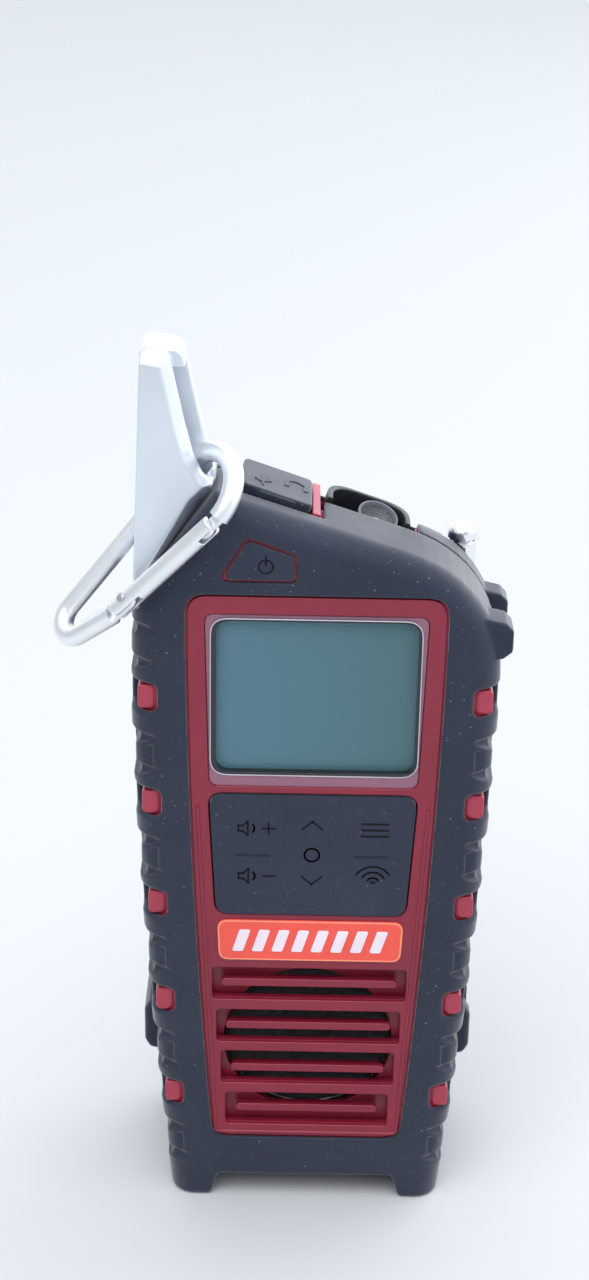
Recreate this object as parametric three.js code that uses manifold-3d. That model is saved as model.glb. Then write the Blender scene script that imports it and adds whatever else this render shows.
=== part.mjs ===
// Emergency radio: a hand-held weather radio with a rubber-clad two-part case, a display, a seven-key
// pad, a speaker behind louvres, a hand crank that drives a small generator through two pairs of gears,
// a telescopic antenna, a torch, a covered port bay, and a carabiner in a cast bracket.
//
// Millimetres. +X to the radio's right as its front is seen, +Y into its depth, +Z up. The body is drawn
// with Y = 0 at its front face and X = 0 on its centre line, and the last lines stand it on the origin.

import * as THREE from "three";
import { mergeVertices } from "three/addons/utils/BufferGeometryUtils.js";
import Module from "manifold-3d";

const wasm = await Module();
wasm.setup();

// ---------------------------------------------------------------- driving dimensions

const DEPTH = 46; // front face to back face, without the crank
const HALF_WIDTH = 41.5; // at the shoulders
const BASE_HALF_WIDTH = 33; // at the feet
const SHOULDER_Z = 141; // where the side starts to bend into the top
const TOP_Z = 177.9; // height of the sloping top on the centre line
const TOP_SLOPE = 0.345; // fall of the top towards +X
const EDGE_ROUND = 6; // rounding between the front face and the sides

const LEAN_Y = 27.5; // where the top starts to fall towards the back
const LEAN_SLOPE = 0.75;

const RUBBER = 1.75; // thickness of the rubber jacket on the sides
const RUBBER_FACE = 1.25; // and on the front and back faces
const GAP = 0.3; // clearance between neighbouring pieces
const WALL = 1.8; // case wall
const SEAM_Y = 20; // where the front jacket meets the rear jacket
const CASE_SEAM_Y = 23; // where the front case meets the rear case
const ARCH_Z = 6.3; // underside of the body between the feet
const CASE_BOTTOM_Z = 8.4;

const PANEL_Y = 0.5; // face of the red front panel
const WINDOW_ROWS = 5;
const WINDOW_TOP_Z = 137.4;
const WINDOW_PITCH = 26.7;
const WINDOW_HEIGHT = 7;

const KEY_TRAVEL = 0.5;
const KEY_GAP = 0.3;

const SPEAKER_Z = 43.9;
const SPEAKER_HOLE_R = 20.2;

const CRANK = new THREE.Vector2(-3, 98); // axis of the crank, as x and z
const KNOB_PIVOT_Z = 55;
const ARM_Y = [47.2, 53.2];

const ANTENNA = new THREE.Vector3(33.3, 31.2, 34); // the tilt pin's centre
const ANTENNA_TOP_Z = 164;
const ANTENNA_SECTIONS = 5;

// ---------------------------------------------------------------- solids and booleans

const mm = (x, y, z) => new THREE.Vector3(x, y, z);

// A closed geometry as a manifold-3d solid.
function solidOf(geometry) {
  const plain = geometry.index ? geometry.toNonIndexed() : geometry.clone();
  for (const name of Object.keys(plain.attributes)) {
    if (name !== "position") plain.deleteAttribute(name);
  }
  const merged = mergeVertices(plain, 1e-4);
  return new wasm.Manifold(
    new wasm.Mesh({
      numProp: 3,
      vertProperties: merged.attributes.position.array,
      triVerts: new Uint32Array(merged.index.array),
    }),
  );
}

// A manifold-3d solid as a geometry.
function geometryOf(solid) {
  const mesh = solid.getMesh();
  const geometry = new THREE.BufferGeometry();
  geometry.setAttribute("position", new THREE.BufferAttribute(mesh.vertProperties, 3));
  geometry.setIndex(new THREE.BufferAttribute(mesh.triVerts, 1));
  geometry.computeVertexNormals();
  return geometry;
}

const join = (first, ...others) => others.reduce((made, next) => made.add(next), first);
const cut = (first, ...others) => others.reduce((made, next) => made.subtract(next), first);

// A box between two corners.
function box(low, high) {
  const size = high.clone().sub(low);
  const centre = low.clone().add(high).multiplyScalar(0.5);
  return solidOf(new THREE.BoxGeometry(...size).translate(...centre));
}

// A shape drawn in x and z, extruded from y0 to y1.
function slab(shape, y0, y1, curveSegments = 3) {
  const geometry = new THREE.ExtrudeGeometry(shape, { depth: y1 - y0, bevelEnabled: false, curveSegments });
  return solidOf(geometry.rotateX(Math.PI / 2).translate(0, y1, 0));
}

// A solid through sections with the same number of points, each drawn in x and z at its own y.
function loft(sections) {
  const count = sections[0].points.length;
  const positions = sections.flatMap(({ points, y }) => points.flatMap((p) => [p.x, y, p.y]));
  const faces = THREE.ShapeUtils.triangulateShape(sections[0].points, []);
  const last = (sections.length - 1) * count;
  const index = faces.flatMap(([a, b, c]) => [a, b, c, last + c, last + b, last + a]);
  for (let row = 0; row < sections.length - 1; row++) {
    for (let i = 0; i < count; i++) {
      const a = row * count + i;
      const b = row * count + ((i + 1) % count);
      index.push(a, a + count, b + count, a, b + count, b);
    }
  }
  const geometry = new THREE.BufferGeometry();
  geometry.setAttribute("position", new THREE.Float32BufferAttribute(positions, 3));
  geometry.setIndex(index);
  return solidOf(geometry);
}

// A convex outline with rounded corners, made solid from y0 to y1 with both rims rounded.
function pillow(outline, y0, y1, edge, cornerRadius, steps = 3) {
  const sections = [];
  for (let step = 0; step <= steps; step++) {
    const angle = (step / steps) * (Math.PI / 2);
    const shape = roundedShape(insetPoints(outline, edge * (1 - Math.sin(angle))), cornerRadius);
    const points = shape.getPoints(2);
    if (points[0].distanceTo(points.at(-1)) < 1e-6) points.pop();
    sections.push({ points, y: edge * (1 - Math.cos(angle)) });
  }
  const front = sections.map(({ points, y }) => ({ points, y: y0 + y }));
  const back = sections.map(({ points, y }) => ({ points, y: y1 - y })).reverse();
  return loft([...front, ...back]);
}

// A cylinder from one point to another.
function rod(from, to, radius, sides = 16) {
  const along = to.clone().sub(from);
  const geometry = new THREE.CylinderGeometry(radius, radius, along.length(), sides);
  const turn = new THREE.Quaternion().setFromUnitVectors(mm(0, 1, 0), along.clone().normalize());
  geometry.applyQuaternion(turn);
  geometry.translate(...from.clone().add(to).multiplyScalar(0.5));
  return solidOf(geometry);
}

// A turned piece: the profile holds [radius, height] pairs, and its axis runs along +Z through the origin.
function turned(profile, sides = 16) {
  const points = profile.map(([radius, height]) => new THREE.Vector2(radius, height));
  return solidOf(new THREE.LatheGeometry(points, sides).rotateX(Math.PI / 2));
}

// The same with its axis along +Y through (x, z): heights in the profile are then Y values.
function turnedAlongY(profile, x, z, sides = 16) {
  const points = profile.map(([radius, height]) => new THREE.Vector2(radius, height));
  return solidOf(new THREE.LatheGeometry(points, sides).translate(x, 0, z));
}

// A closed shape through points, with each sharp corner rounded.
function roundedShape(points, radius) {
  const corners = points.map(([x, y]) => new THREE.Vector2(x, y));
  const shape = new THREE.Shape();
  corners.forEach((corner, i) => {
    const before = corners[(i + corners.length - 1) % corners.length];
    const after = corners[(i + 1) % corners.length];
    const inward = corner.clone().sub(before);
    const outward = after.clone().sub(corner);
    const turn = Math.abs(Math.atan2(inward.cross(outward), inward.dot(outward)));
    const wanted = turn > 0.3 ? radius * Math.tan(turn / 2) : 0;
    const reach = Math.min(wanted, 0.45 * inward.length(), 0.45 * outward.length());
    const start = corner.clone().addScaledVector(inward.normalize(), -reach);
    const end = corner.clone().addScaledVector(outward.normalize(), reach);
    if (i === 0) shape.moveTo(start.x, start.y);
    else shape.lineTo(start.x, start.y);
    if (reach > 0) shape.quadraticCurveTo(corner.x, corner.y, end.x, end.y);
  });
  shape.closePath();
  return shape;
}

function roundedRectangle(x0, z0, x1, z1, radius) {
  return roundedShape([[x0, z0], [x1, z0], [x1, z1], [x0, z1]], radius);
}

// ---------------------------------------------------------------- the body's outline

const topAt = (x) => TOP_Z - TOP_SLOPE * x;
const CORNER_LOW = [-41, 159.3]; // the bracket's corner is cut off between these two points
const CORNER_HIGH = [-22.4, 184.9];

// The body's front outline as points, anticlockwise from the left foot, with a flat bottom at bottomZ.
function outlinePoints(bottomZ) {
  const side = new THREE.QuadraticBezierCurve(
    new THREE.Vector2(BASE_HALF_WIDTH, 0),
    new THREE.Vector2(40.7, 75),
    new THREE.Vector2(HALF_WIDTH, 135),
  );
  const shoulder = new THREE.QuadraticBezierCurve(
    new THREE.Vector2(HALF_WIDTH, SHOULDER_Z),
    new THREE.Vector2(41.2, topAt(41.2)),
    new THREE.Vector2(20, topAt(20)),
  );
  const sidePoints = side.getPoints(5).filter((p) => p.y > bottomZ + 9);
  const base = side.getPoint(bottomZ / 150).x;
  return [
    [-base, bottomZ],
    [base, bottomZ],
    ...sidePoints.map((p) => [p.x, p.y]),
    ...shoulder.getPoints(6).map((p) => [p.x, p.y]),
    CORNER_HIGH,
    CORNER_LOW,
    ...sidePoints.reverse().map((p) => [-p.x, p.y]),
  ];
}

// Moves each edge of a convex outline inwards.
function insetPoints(points, inset) {
  const corners = points.map(([x, y]) => new THREE.Vector2(x, y));
  return corners.map((corner, i) => {
    const before = corners[(i + corners.length - 1) % corners.length];
    const after = corners[(i + 1) % corners.length];
    const a = corner.clone().sub(before).normalize();
    const b = after.clone().sub(corner).normalize();
    const normal = new THREE.Vector2(-a.y - b.y, a.x + b.x).normalize();
    const reach = inset / Math.max(0.4, normal.dot(new THREE.Vector2(-a.y, a.x)));
    return [corner.x + normal.x * reach, corner.y + normal.y * reach];
  });
}

// The body's rounded volume, inset on its sides, from y0 to y1.
function bodyVolume(inset, bottomZ, y0, y1, edge) {
  const points = insetPoints(outlinePoints(bottomZ - inset), inset);
  return pillow(points, y0, y1, edge, 3);
}

const inFrontOf = (y) => box(mm(-99, y, -9), mm(99, 99, 299));
const behind = (y) => box(mm(-99, -99, -9), mm(99, y, 299));

// ---------------------------------------------------------------- shapes on the front

const panelPoints = (grow) => {
  const side = new THREE.QuadraticBezierCurve(
    new THREE.Vector2(22.5 + grow, 17.8 - grow),
    new THREE.Vector2(28 + grow, 85),
    new THREE.Vector2(28.7 + grow, 150),
  );
  const right = side.getPoints(4).map((p) => [p.x, p.y]);
  const left = side.getPoints(4).reverse().map((p) => [-p.x, p.y]);
  return [...right, [28.7 + grow, 162 + grow], [-28.7 - grow, 162 + grow], ...left];
};
const panelShape = (grow) => roundedShape(panelPoints(grow), 4.5);
const lensShape = (grow) =>
  roundedShape(
    [
      [-23.6 - grow, 115 - grow],
      [23.6 + grow, 115 - grow],
      [24.7 + grow, 157.5 + grow],
      [-24.7 - grow, 157.5 + grow],
    ],
    2,
  );
const displayShape = () => roundedRectangle(-22.8, 118.5, 22.8, 156, 3.5);
const padShape = (grow) =>
  roundedShape(
    [
      [-22 - grow, 81.3 - grow],
      [22 + grow, 81.3 - grow],
      [23.7 + grow, 112.8 + grow],
      [-23.7 - grow, 112.8 + grow],
    ],
    3.2,
  );
const powerPoints = [[-21.9, 165.5], [-4.6, 165.5], [-4.5, 171.9], [-15.6, 175.9]];
const powerShape = (inset) => roundedShape(insetPoints(powerPoints, inset), 1.4);

// ---------------------------------------------------------------- materials

const material = (color, roughness, metalness = 0) =>
  new THREE.MeshStandardMaterial({ color, roughness, metalness });
const looks = {
  rubber: material(0x2f3440, 0.75),
  red: material(0x8e1f30, 0.42),
  black: material(0x15171b, 0.5),
  charcoal: material(0x2b2e36, 0.6),
  silver: material(0xc9ced6, 0.3, 0.85),
  chrome: material(0xdddddd, 0.12, 1),
  steel: material(0x9a9ea3, 0.35, 0.9),
  clear: material(0xdfe8ee, 0.05),
  display: material(0x4a6a70, 0.3),
  badge: material(0xe0492f, 0.45),
  board: material(0x1d5a34, 0.6),
  paper: material(0x22201f, 0.9),
  magnet: material(0x5c5f63, 0.5, 0.6),
  gear: material(0xe6e2d6, 0.5),
  brass: material(0xb9923e, 0.35, 0.9),
  solar: material(0x101726, 0.15),
  battery: material(0x2c5f9e, 0.5),
  white: material(0xeceff2, 0.5),
};

const radio = new THREE.Group();

// Adds one named piece to the radio, or to a group inside it.
function add(name, look, solid, parent = radio) {
  const mesh = new THREE.Mesh(geometryOf(solid), looks[look]);
  mesh.name = name;
  parent.add(mesh);
  return mesh;
}

// ---------------------------------------------------------------- the rubber jacket

// Half width of the body at a height on its side.
function halfWidthAt(z) {
  const t = z / 150;
  const u = 1 - t;
  return u * u * BASE_HALF_WIDTH + 2 * u * t * 40.7 + t * t * HALF_WIDTH;
}

// Both sides' openings that show the red case, and the shallow grip notches between them.
function sideCuts() {
  const cuts = [];
  for (const hand of [-1, 1]) {
    for (let row = 0; row < WINDOW_ROWS; row++) {
      const z = WINDOW_TOP_Z - row * WINDOW_PITCH;
      const inner = halfWidthAt(z) - 6.4;
      const ends = [hand * inner, hand * 60].sort((a, b) => a - b);
      const shape = roundedRectangle(ends[0], z - WINDOW_HEIGHT / 2, ends[1], z + WINDOW_HEIGHT / 2, 1.4);
      cuts.push(slab(shape, -2, 9, 1));
      for (const [drop, height] of [[9.6, 1.6], [18.4, 1.2]]) {
        const notchZ = z - drop;
        const edge = hand * (halfWidthAt(notchZ) - 4.2);
        const notch = [
          [edge, notchZ],
          [hand * 60, notchZ - height],
          [hand * 60, notchZ + height],
        ];
        cuts.push(slab(new THREE.Shape(notch.map(([x, y]) => new THREE.Vector2(x, y))), -2, 12));
      }
    }
  }
  return cuts;
}

// The back of the body leans forward above its shoulders, from a line across the top towards the back face.
function backLean(inset) {
  const far = 80;
  const corners = (x) => {
    const top = topAt(x) - inset;
    return [
      mm(x, LEAN_Y, top),
      mm(x, LEAN_Y + far, top - far * LEAN_SLOPE),
      mm(x, LEAN_Y + far, top + far),
      mm(x, LEAN_Y, top + far),
    ];
  };
  const positions = [...corners(-99), ...corners(99)].flatMap((p) => [p.x, p.y, p.z]);
  const faces = [0, 2, 1, 0, 3, 2, 4, 5, 6, 4, 6, 7, 0, 1, 5, 0, 5, 4, 1, 2, 6, 1, 6, 5, 2, 3, 7, 2, 7, 6, 3, 0, 4, 3, 4, 7];
  const geometry = new THREE.BufferGeometry();
  geometry.setAttribute("position", new THREE.Float32BufferAttribute(positions, 3));
  geometry.setIndex(faces);
  return solidOf(geometry);
}

const belowFloor = box(mm(-99, -9, -99), mm(99, 99, 0));
const jacketOuter = cut(bodyVolume(0, -5, 0, DEPTH, EDGE_ROUND), belowFloor, backLean(0));
const jacketInner = cut(
  bodyVolume(RUBBER, CASE_BOTTOM_Z - GAP, RUBBER_FACE, DEPTH - RUBBER_FACE, EDGE_ROUND - 1.2),
  backLean(RUBBER),
);
const archShape = roundedShape([[-24, -3], [24, -3], [21.4, ARCH_Z], [-21.4, ARCH_Z]], 1.5);
const arch = slab(archShape, -5, DEPTH + 5, 2);

// The raised grip on the right shoulder, one lobe on each half of the jacket.
function shoulderGrip(y0, y1, rise = 0) {
  const low = [[34, 144 + rise], [41.5, 146 + rise], [43.8, 148 + rise]];
  const high = [[43.8, 153.8 - rise], [41, 157 - rise], [34, 160 - rise]];
  const outline = [...low, ...high];
  return pillow(outline, y0, y1, 1, 1.5, 2);
}

// The ear beside the antenna's foot, and its twin on the other side.
function ear(hand) {
  const points = [[34, 24.5], [40.2, 25], [41.4, 27.5], [41.4, 38.5], [39, 42.5], [34, 44]];
  const turnedPoints = hand > 0 ? points : points.map(([x, z]) => [-x, z]).reverse();
  return pillow(turnedPoints, SEAM_Y + 2.3, 39, 1.2, 1.5, 2);
}

const NOTCH_X = 28.8; // the antenna stands in a notch along the rear right corner
const NOTCH_Y = 27.3;
const antennaNotch = join(
  box(mm(NOTCH_X, NOTCH_Y, 44), mm(60, 60, 220)),
  box(mm(NOTCH_X, NOTCH_Y, 29), mm(60, 35.1, 45)),
);
const portNotch = slab(roundedRectangle(-17.6, 150, 1.2, 220, 0), 9.6, SEAM_Y + 1);
const rearTopNotch = slab(roundedRectangle(-17.6, 150, 22.6, 220, 0), SEAM_Y - 1, 33);

function frontBumper() {
  const shell = cut(join(jacketOuter, shoulderGrip(3, 14)), jacketInner, arch, inFrontOf(SEAM_Y));
  const openings = [slab(panelShape(GAP), -3, 4), slab(powerShape(0), -3, 4), portNotch];
  return cut(shell, ...openings, ...sideCuts());
}

// The back face's opening, clipped beside the antenna.
const backPoints = (grow) => {
  const points = insetPoints(outlinePoints(12 - 9.5), 9.5 - grow);
  return points.map(([x, z]) => [Math.min(x, 25.5 + grow), Math.min(z, topAt(x) - 23.5 + grow)]);
};
const backShape = (grow) => roundedShape(backPoints(grow), 3);

function rearBumper() {
  const outer = join(jacketOuter, shoulderGrip(17.5, 26.8, 1), ear(1), ear(-1));
  const shell = cut(outer, jacketInner, arch, behind(SEAM_Y + GAP), antennaNotch, rearTopNotch);
  const pin = rod(mm(ANTENNA.x, 20, ANTENNA.z), mm(ANTENNA.x, DEPTH + 2, ANTENNA.z), 1.7, 12);
  return cut(shell, slab(backShape(0), DEPTH - 4, DEPTH + 4), pin);
}

add("front_bumper", "rubber", frontBumper());
add("rear_bumper", "rubber", rearBumper());

// ---------------------------------------------------------------- the red case

const caseOuter = cut(
  bodyVolume(RUBBER + GAP, CASE_BOTTOM_Z, RUBBER_FACE + GAP, DEPTH - RUBBER_FACE - GAP, 4.4),
  backLean(RUBBER + GAP),
);
const cavity = cut(
  bodyVolume(
    RUBBER + GAP + WALL,
    CASE_BOTTOM_Z + WALL,
    RUBBER_FACE + GAP + 1.7,
    DEPTH - RUBBER_FACE - GAP - 1.7,
    3,
  ),
  backLean(RUBBER + GAP + WALL),
);

// Louvre windows: z of the top and bottom edges, and the half width.
const louvres = [
  { top: 66.2, bottom: 58.2, half: 23, bar: 20.8, barZ: 61.6 },
  { top: 54.3, bottom: 46.3, half: 21.8, bar: 19.6, barZ: 49.1 },
  { top: 41.8, bottom: 34.1, half: 20.7, bar: 18.4, barZ: 36.8 },
  { top: 29.8, bottom: 22.9, half: 19.7, bar: 17.1, barZ: 25.1 },
];
const screwPlaces = [[-27.6, 110], [22, 109], [-24.6, 56], [22.4, 57]];
const BAFFLE_Y = 3.9; // front of the wall that the speaker is clamped behind

const usbSocket = { low: mm(-15.6, 12.6, 166), high: mm(-2.6, 18.4, 177.2) };
const torchPlace = mm(12.1, 25.6, topAt(12.1) - 2.6);

function frontCase() {
  const panel = slab(panelShape(-0.05), PANEL_Y, 4);
  const shell = cut(join(caseOuter, panel), cavity, inFrontOf(CASE_SEAM_Y));
  const baffleShape = roundedShape([[-22, 17], [22, 17], [27, 69], [-27, 69]], 3);
  const baffle = slab(baffleShape, 3, BAFFLE_Y + 1.6);
  const speakerHole = turnedAlongY([[0, 3.6], [SPEAKER_HOLE_R, 3.6], [SPEAKER_HOLE_R, 9], [0, 9]], 0, SPEAKER_Z, 24);
  const windows = louvres.map(({ top, bottom, half }) =>
    slab(roundedRectangle(-half, bottom, half, top, 0.8), -1, BAFFLE_Y, 1),
  );
  const bars = louvres.map(({ bar, barZ }) =>
    slab(roundedRectangle(-bar, barZ - 1.1, bar, barZ + 1.1, 1), 1.2, BAFFLE_Y + 0.8, 2),
  );
  const posts = screwPlaces.map(([x, z]) => rod(mm(x, 3, z), mm(x, 26, z), 3, 10));
  const faced = cut(
    join(shell, baffle, ...posts),
    ...screwPlaces.map(([x, z]) => rod(mm(x, 8, z), mm(x, 30, z), 1.6, 10)),
    slab(lensShape(GAP), -1, PANEL_Y + 1.4),
    slab(displayShape(), -1, 6),
    slab(padShape(GAP), -1, 9),
    slab(powerShape(0.7), -1, 9),
    speakerHole,
    ...windows,
    box(usbSocket.low.clone().subScalar(GAP), mm(usbSocket.high.x + GAP, usbSocket.high.y + GAP, 200)),
    rod(mm(-13.4, 22.3, 160), mm(-13.4, 22.3, 200), 2.9, 12),
    slab(roundedRectangle(-0.4, 160, 22, 200, 2), SEAM_Y - 0.3, 40),
  );
  const ribs = [-1, 1].map((hand) => box(mm(hand * 15.5 - 0.6, 4.3, 22), mm(hand * 15.5 + 0.6, BAFFLE_Y + 1.6, 66)));
  return join(faced, ...bars, ...ribs);
}

const SOLAR = { x0: -27, z0: 113.6, x1: 21, z1: 146.4 };
const DOOR = { x0: -20.5, z0: 14.3, x1: 20.5, z1: 44.5, hingeY: 44.9, hingeZ: 14.7 };
const BACK_Y = 45.4; // the back panel's face

function rearCase() {
  const wall = join(
    box(mm(NOTCH_X - WALL, NOTCH_Y - WALL, 40), mm(60, 60, 220)),
    box(mm(NOTCH_X - WALL, NOTCH_Y - WALL, 29 - WALL), mm(60, 60, 46)),
  );
  const boss = slab(backShape(-GAP), DEPTH - 3, BACK_Y);
  const shell = cut(join(caseOuter, boss), cut(cavity, wall), antennaNotch, behind(CASE_SEAM_Y + 0.2));
  return cut(
    shell,
    box(mm(SOLAR.x0 - GAP, 43.8, SOLAR.z0 - GAP), mm(SOLAR.x1 + GAP, 60, SOLAR.z1 + GAP)),
    box(mm(DOOR.x0 - GAP, 43.6, DOOR.z0 - 1.2), mm(DOOR.x1 + GAP, 60, DOOR.z1 + GAP)),
    box(mm(DOOR.x0 + 1.6, 40, DOOR.z0 + 1.8), mm(DOOR.x1 - 1.6, 60, DOOR.z1 - 1.8)),
    rod(mm(CRANK.x, 40, CRANK.y), mm(CRANK.x, 60, CRANK.y), 5.3),
    rod(mm(ANTENNA.x, 20, ANTENNA.z), mm(ANTENNA.x, DEPTH + 2, ANTENNA.z), 1.7, 12),
    slab(roundedRectangle(-0.4, 160, 22, 200, 2), SEAM_Y, 31.6),
    rod(mm(-13.4, 22.3, 160), mm(-13.4, 22.3, 200), 2.9, 12),
    ...screwPlaces.map(([x, z]) => rod(mm(x, 40, z), mm(x, 60, z), 2.4, 12)),
  );
}

add("front_case", "red", frontCase());
add("rear_case", "red", rearCase());

// Case screws, from the back panel into the front case's posts.
screwPlaces.forEach(([x, z], i) => {
  const screw = turnedAlongY([[0, 27], [1.3, 27], [1.3, 42.6], [2.1, 42.6], [2.1, 44.9], [0, 44.9]], x, z, 10);
  add(`case_screw_${i + 1}`, "steel", screw);
});

// ---------------------------------------------------------------- display, keys and badge

add("display_lens", "clear", slab(lensShape(0), PANEL_Y + 0.1, PANEL_Y + 1.1));
add("display_panel", "display", slab(roundedRectangle(-24.4, 116.4, 24.4, 158.2, 1), 3.6, 5.4));
add("display_backlight", "white", slab(roundedRectangle(-24.4, 116.4, 24.4, 158.2, 1), 5.7, 8.6));

const CAPSULE = { half: 6.15, low: 82.6, high: 108.7 };
const keyCells = {
  key_volume_up: [[-30, 97.2], [-KEY_GAP / 2 - 6.3, 120]],
  key_volume_down: [[-30, 70], [-KEY_GAP / 2 - 6.3, 96.9]],
  key_menu: [[KEY_GAP / 2 + 6.3, 97.2], [30, 120]],
  key_auto_tune: [[KEY_GAP / 2 + 6.3, 70], [30, 96.9]],
  key_scroll_up: [[-6.15, 100.4], [6.15, 120]],
  key_select: [[-6.15, 92.6], [6.15, 100.1]],
  key_scroll_down: [[-6.15, 70], [6.15, 92.3]],
};

const KEY_FACE_Y = 0.15;
const padBlock = slab(padShape(0), KEY_FACE_Y, 3.2);
for (const [name, [low, high]] of Object.entries(keyCells)) {
  const cell = box(mm(low[0], -5, low[1]), mm(high[0], 9, high[1]));
  const stem = box(
    mm((Math.max(low[0], -23) + Math.min(high[0], 23)) / 2 - 1.5, 3, (Math.max(low[1], 82) + Math.min(high[1], 112)) / 2 - 1.5),
    mm((Math.max(low[0], -23) + Math.min(high[0], 23)) / 2 + 1.5, 6.4, (Math.max(low[1], 82) + Math.min(high[1], 112)) / 2 + 1.5),
  );
  add(name, "rubber", join(padBlock.intersect(cell), stem));
}

// The membrane behind the keys: a thin web with a hole for each key's stem.
const matShape = roundedShape([[-24.6, 79.6], [24.6, 79.6], [25.8, 113.9], [-25.8, 113.9]], 2);
const stemHoles = Object.values(keyCells).map(([low, high]) => {
  const x = (Math.max(low[0], -23) + Math.min(high[0], 23)) / 2;
  const z = (Math.max(low[1], 82) + Math.min(high[1], 112)) / 2;
  return box(mm(x - 2, 2, z - 2), mm(x + 2, 9, z + 2));
});
const postHoles = screwPlaces.map(([x, z]) => rod(mm(x, 1, z), mm(x, 30, z), 3.4, 10));
add("keypad_mat", "rubber", cut(slab(matShape, 4.1, 5), ...stemHoles, ...postHoles));

add("power_button", "black", slab(powerShape(1.05), -0.1, 2.6));

const badgeShape = roundedShape([[-21.4, 68.7], [21.4, 68.7], [21.8, 79.6], [-21.8, 79.6]], 2.2);
add("badge_plate", "badge", slab(badgeShape, PANEL_Y - 0.45, PANEL_Y - 0.05));

// ---------------------------------------------------------------- speaker and board

const speaker = { flangeR: 21.9, y: BAFFLE_Y + 1.9 };
add(
  "speaker_frame",
  "steel",
  turnedAlongY(
    [
      [20.6, speaker.y], [speaker.flangeR, speaker.y], [speaker.flangeR, speaker.y + 1.4], [21.4, speaker.y + 1.4],
      [14.6, speaker.y + 9], [9, speaker.y + 9], [9, speaker.y + 8], [14, speaker.y + 8], [20.6, speaker.y + 1.4],
      [20.6, speaker.y],
    ],
    0,
    SPEAKER_Z,
    24,
  ),
);
add(
  "speaker_cone",
  "paper",
  turnedAlongY(
    [
      [0, speaker.y + 4.2], [6, speaker.y + 5.2], [19.9, speaker.y + 0.3], [19.9, speaker.y + 0.9],
      [8.4, speaker.y + 6.6], [8.4, speaker.y + 9.6], [0, speaker.y + 9.6], [0, speaker.y + 4.2],
    ],
    0,
    SPEAKER_Z,
    24,
  ),
);
add(
  "speaker_magnet",
  "magnet",
  turnedAlongY([[0, speaker.y + 10], [13, speaker.y + 10], [13, speaker.y + 16], [0, speaker.y + 16]], 0, SPEAKER_Z, 24),
);

const boardShape = roundedShape([[-31, 72], [31, 72], [33, 150], [22, 163], [1, 170.5], [-22, 176.5], [-33.5, 160]], 1);
add("main_board", "board", cut(slab(boardShape, 9.4, 11), ...postHoles));
add("ferrite_rod", "magnet", rod(mm(-22.5, 17, 112), mm(17.5, 17, 112), 4, 12));

// ---------------------------------------------------------------- generator and gears

// A spur gear's outline in x and z, with one tooth centred on the angle phase.
function gearShape(teeth, phase, centre) {
  const pitchR = teeth / 2;
  const step = (2 * Math.PI) / teeth;
  const flank = [
    [pitchR - 1.25, 0.92],
    [pitchR + 0.9, 0.26],
  ];
  const points = [];
  for (let tooth = 0; tooth < teeth; tooth++) {
    const angle = phase + tooth * step;
    const leading = flank.map(([r, half]) => [r, angle - half / r]);
    const trailing = [...flank].reverse().map(([r, half]) => [r, angle + half / r]);
    for (const [r, a] of [...leading, ...trailing]) {
      points.push(new THREE.Vector2(centre.x + r * Math.cos(a), centre.y + r * Math.sin(a)));
    }
  }
  return new THREE.Shape(points);
}

const WHEEL_TEETH = 36;
const PINION_TEETH = 12;
const GEAR_CENTRES = (WHEEL_TEETH + PINION_TEETH) / 2 + 0.1;
const toIdler = THREE.MathUtils.degToRad(-115);
const toRotor = THREE.MathUtils.degToRad(-80);
const IDLER = CRANK.clone().add(new THREE.Vector2(Math.cos(toIdler), Math.sin(toIdler)).multiplyScalar(GEAR_CENTRES));
const ROTOR = IDLER.clone().add(new THREE.Vector2(Math.cos(toRotor), Math.sin(toRotor)).multiplyScalar(GEAR_CENTRES));
const halfPinionTooth = Math.PI / PINION_TEETH;

const BUSH_Y = [39.6, 45.6];
add(
  "crank_bush",
  "brass",
  turnedAlongY([[3.3, BUSH_Y[0]], [5, BUSH_Y[0]], [5, BUSH_Y[1]], [3.3, BUSH_Y[1]], [3.3, BUSH_Y[0]]], CRANK.x, CRANK.y),
);
add("crank_shaft", "steel", rod(mm(CRANK.x, 28, CRANK.y), mm(CRANK.x, 46.8, CRANK.y), 3));
add(
  "crank_gear",
  "gear",
  cut(
    slab(gearShape(WHEEL_TEETH, toIdler, CRANK), 33.2, 36.2),
    rod(mm(CRANK.x, 20, CRANK.y), mm(CRANK.x, 50, CRANK.y), 3.3),
  ),
);
const idlerBore = rod(mm(IDLER.x, 20, IDLER.y), mm(IDLER.x, 50, IDLER.y), 1.8, 12);
add(
  "idler_gear",
  "gear",
  cut(
    join(
      slab(gearShape(PINION_TEETH, toIdler + Math.PI + halfPinionTooth, IDLER), 33, 37),
      slab(gearShape(WHEEL_TEETH, toRotor, IDLER), 36.8, 39),
    ),
    idlerBore,
  ),
);
add("idler_axle", "steel", rod(mm(IDLER.x, 29.6, IDLER.y), mm(IDLER.x, 42.4, IDLER.y), 1.5, 12));
add(
  "rotor_pinion",
  "brass",
  join(
    slab(gearShape(PINION_TEETH, toRotor + Math.PI + halfPinionTooth, ROTOR), 36.4, 39.4),
    rod(mm(ROTOR.x, 22, ROTOR.y), mm(ROTOR.x, 40.2, ROTOR.y), 1.2, 12),
  ),
);
add(
  "generator",
  "steel",
  turnedAlongY(
    [[1.5, 22.4], [11.5, 22.4], [11.5, 34.8], [3.2, 34.8], [3.2, 35.6], [1.5, 35.6], [1.5, 22.4]],
    ROTOR.x,
    ROTOR.y,
    24,
  ),
);
const chassisShape = roundedShape([[-28, 66.5], [6, 66.5], [12, 108], [-22, 108]], 3);
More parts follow.
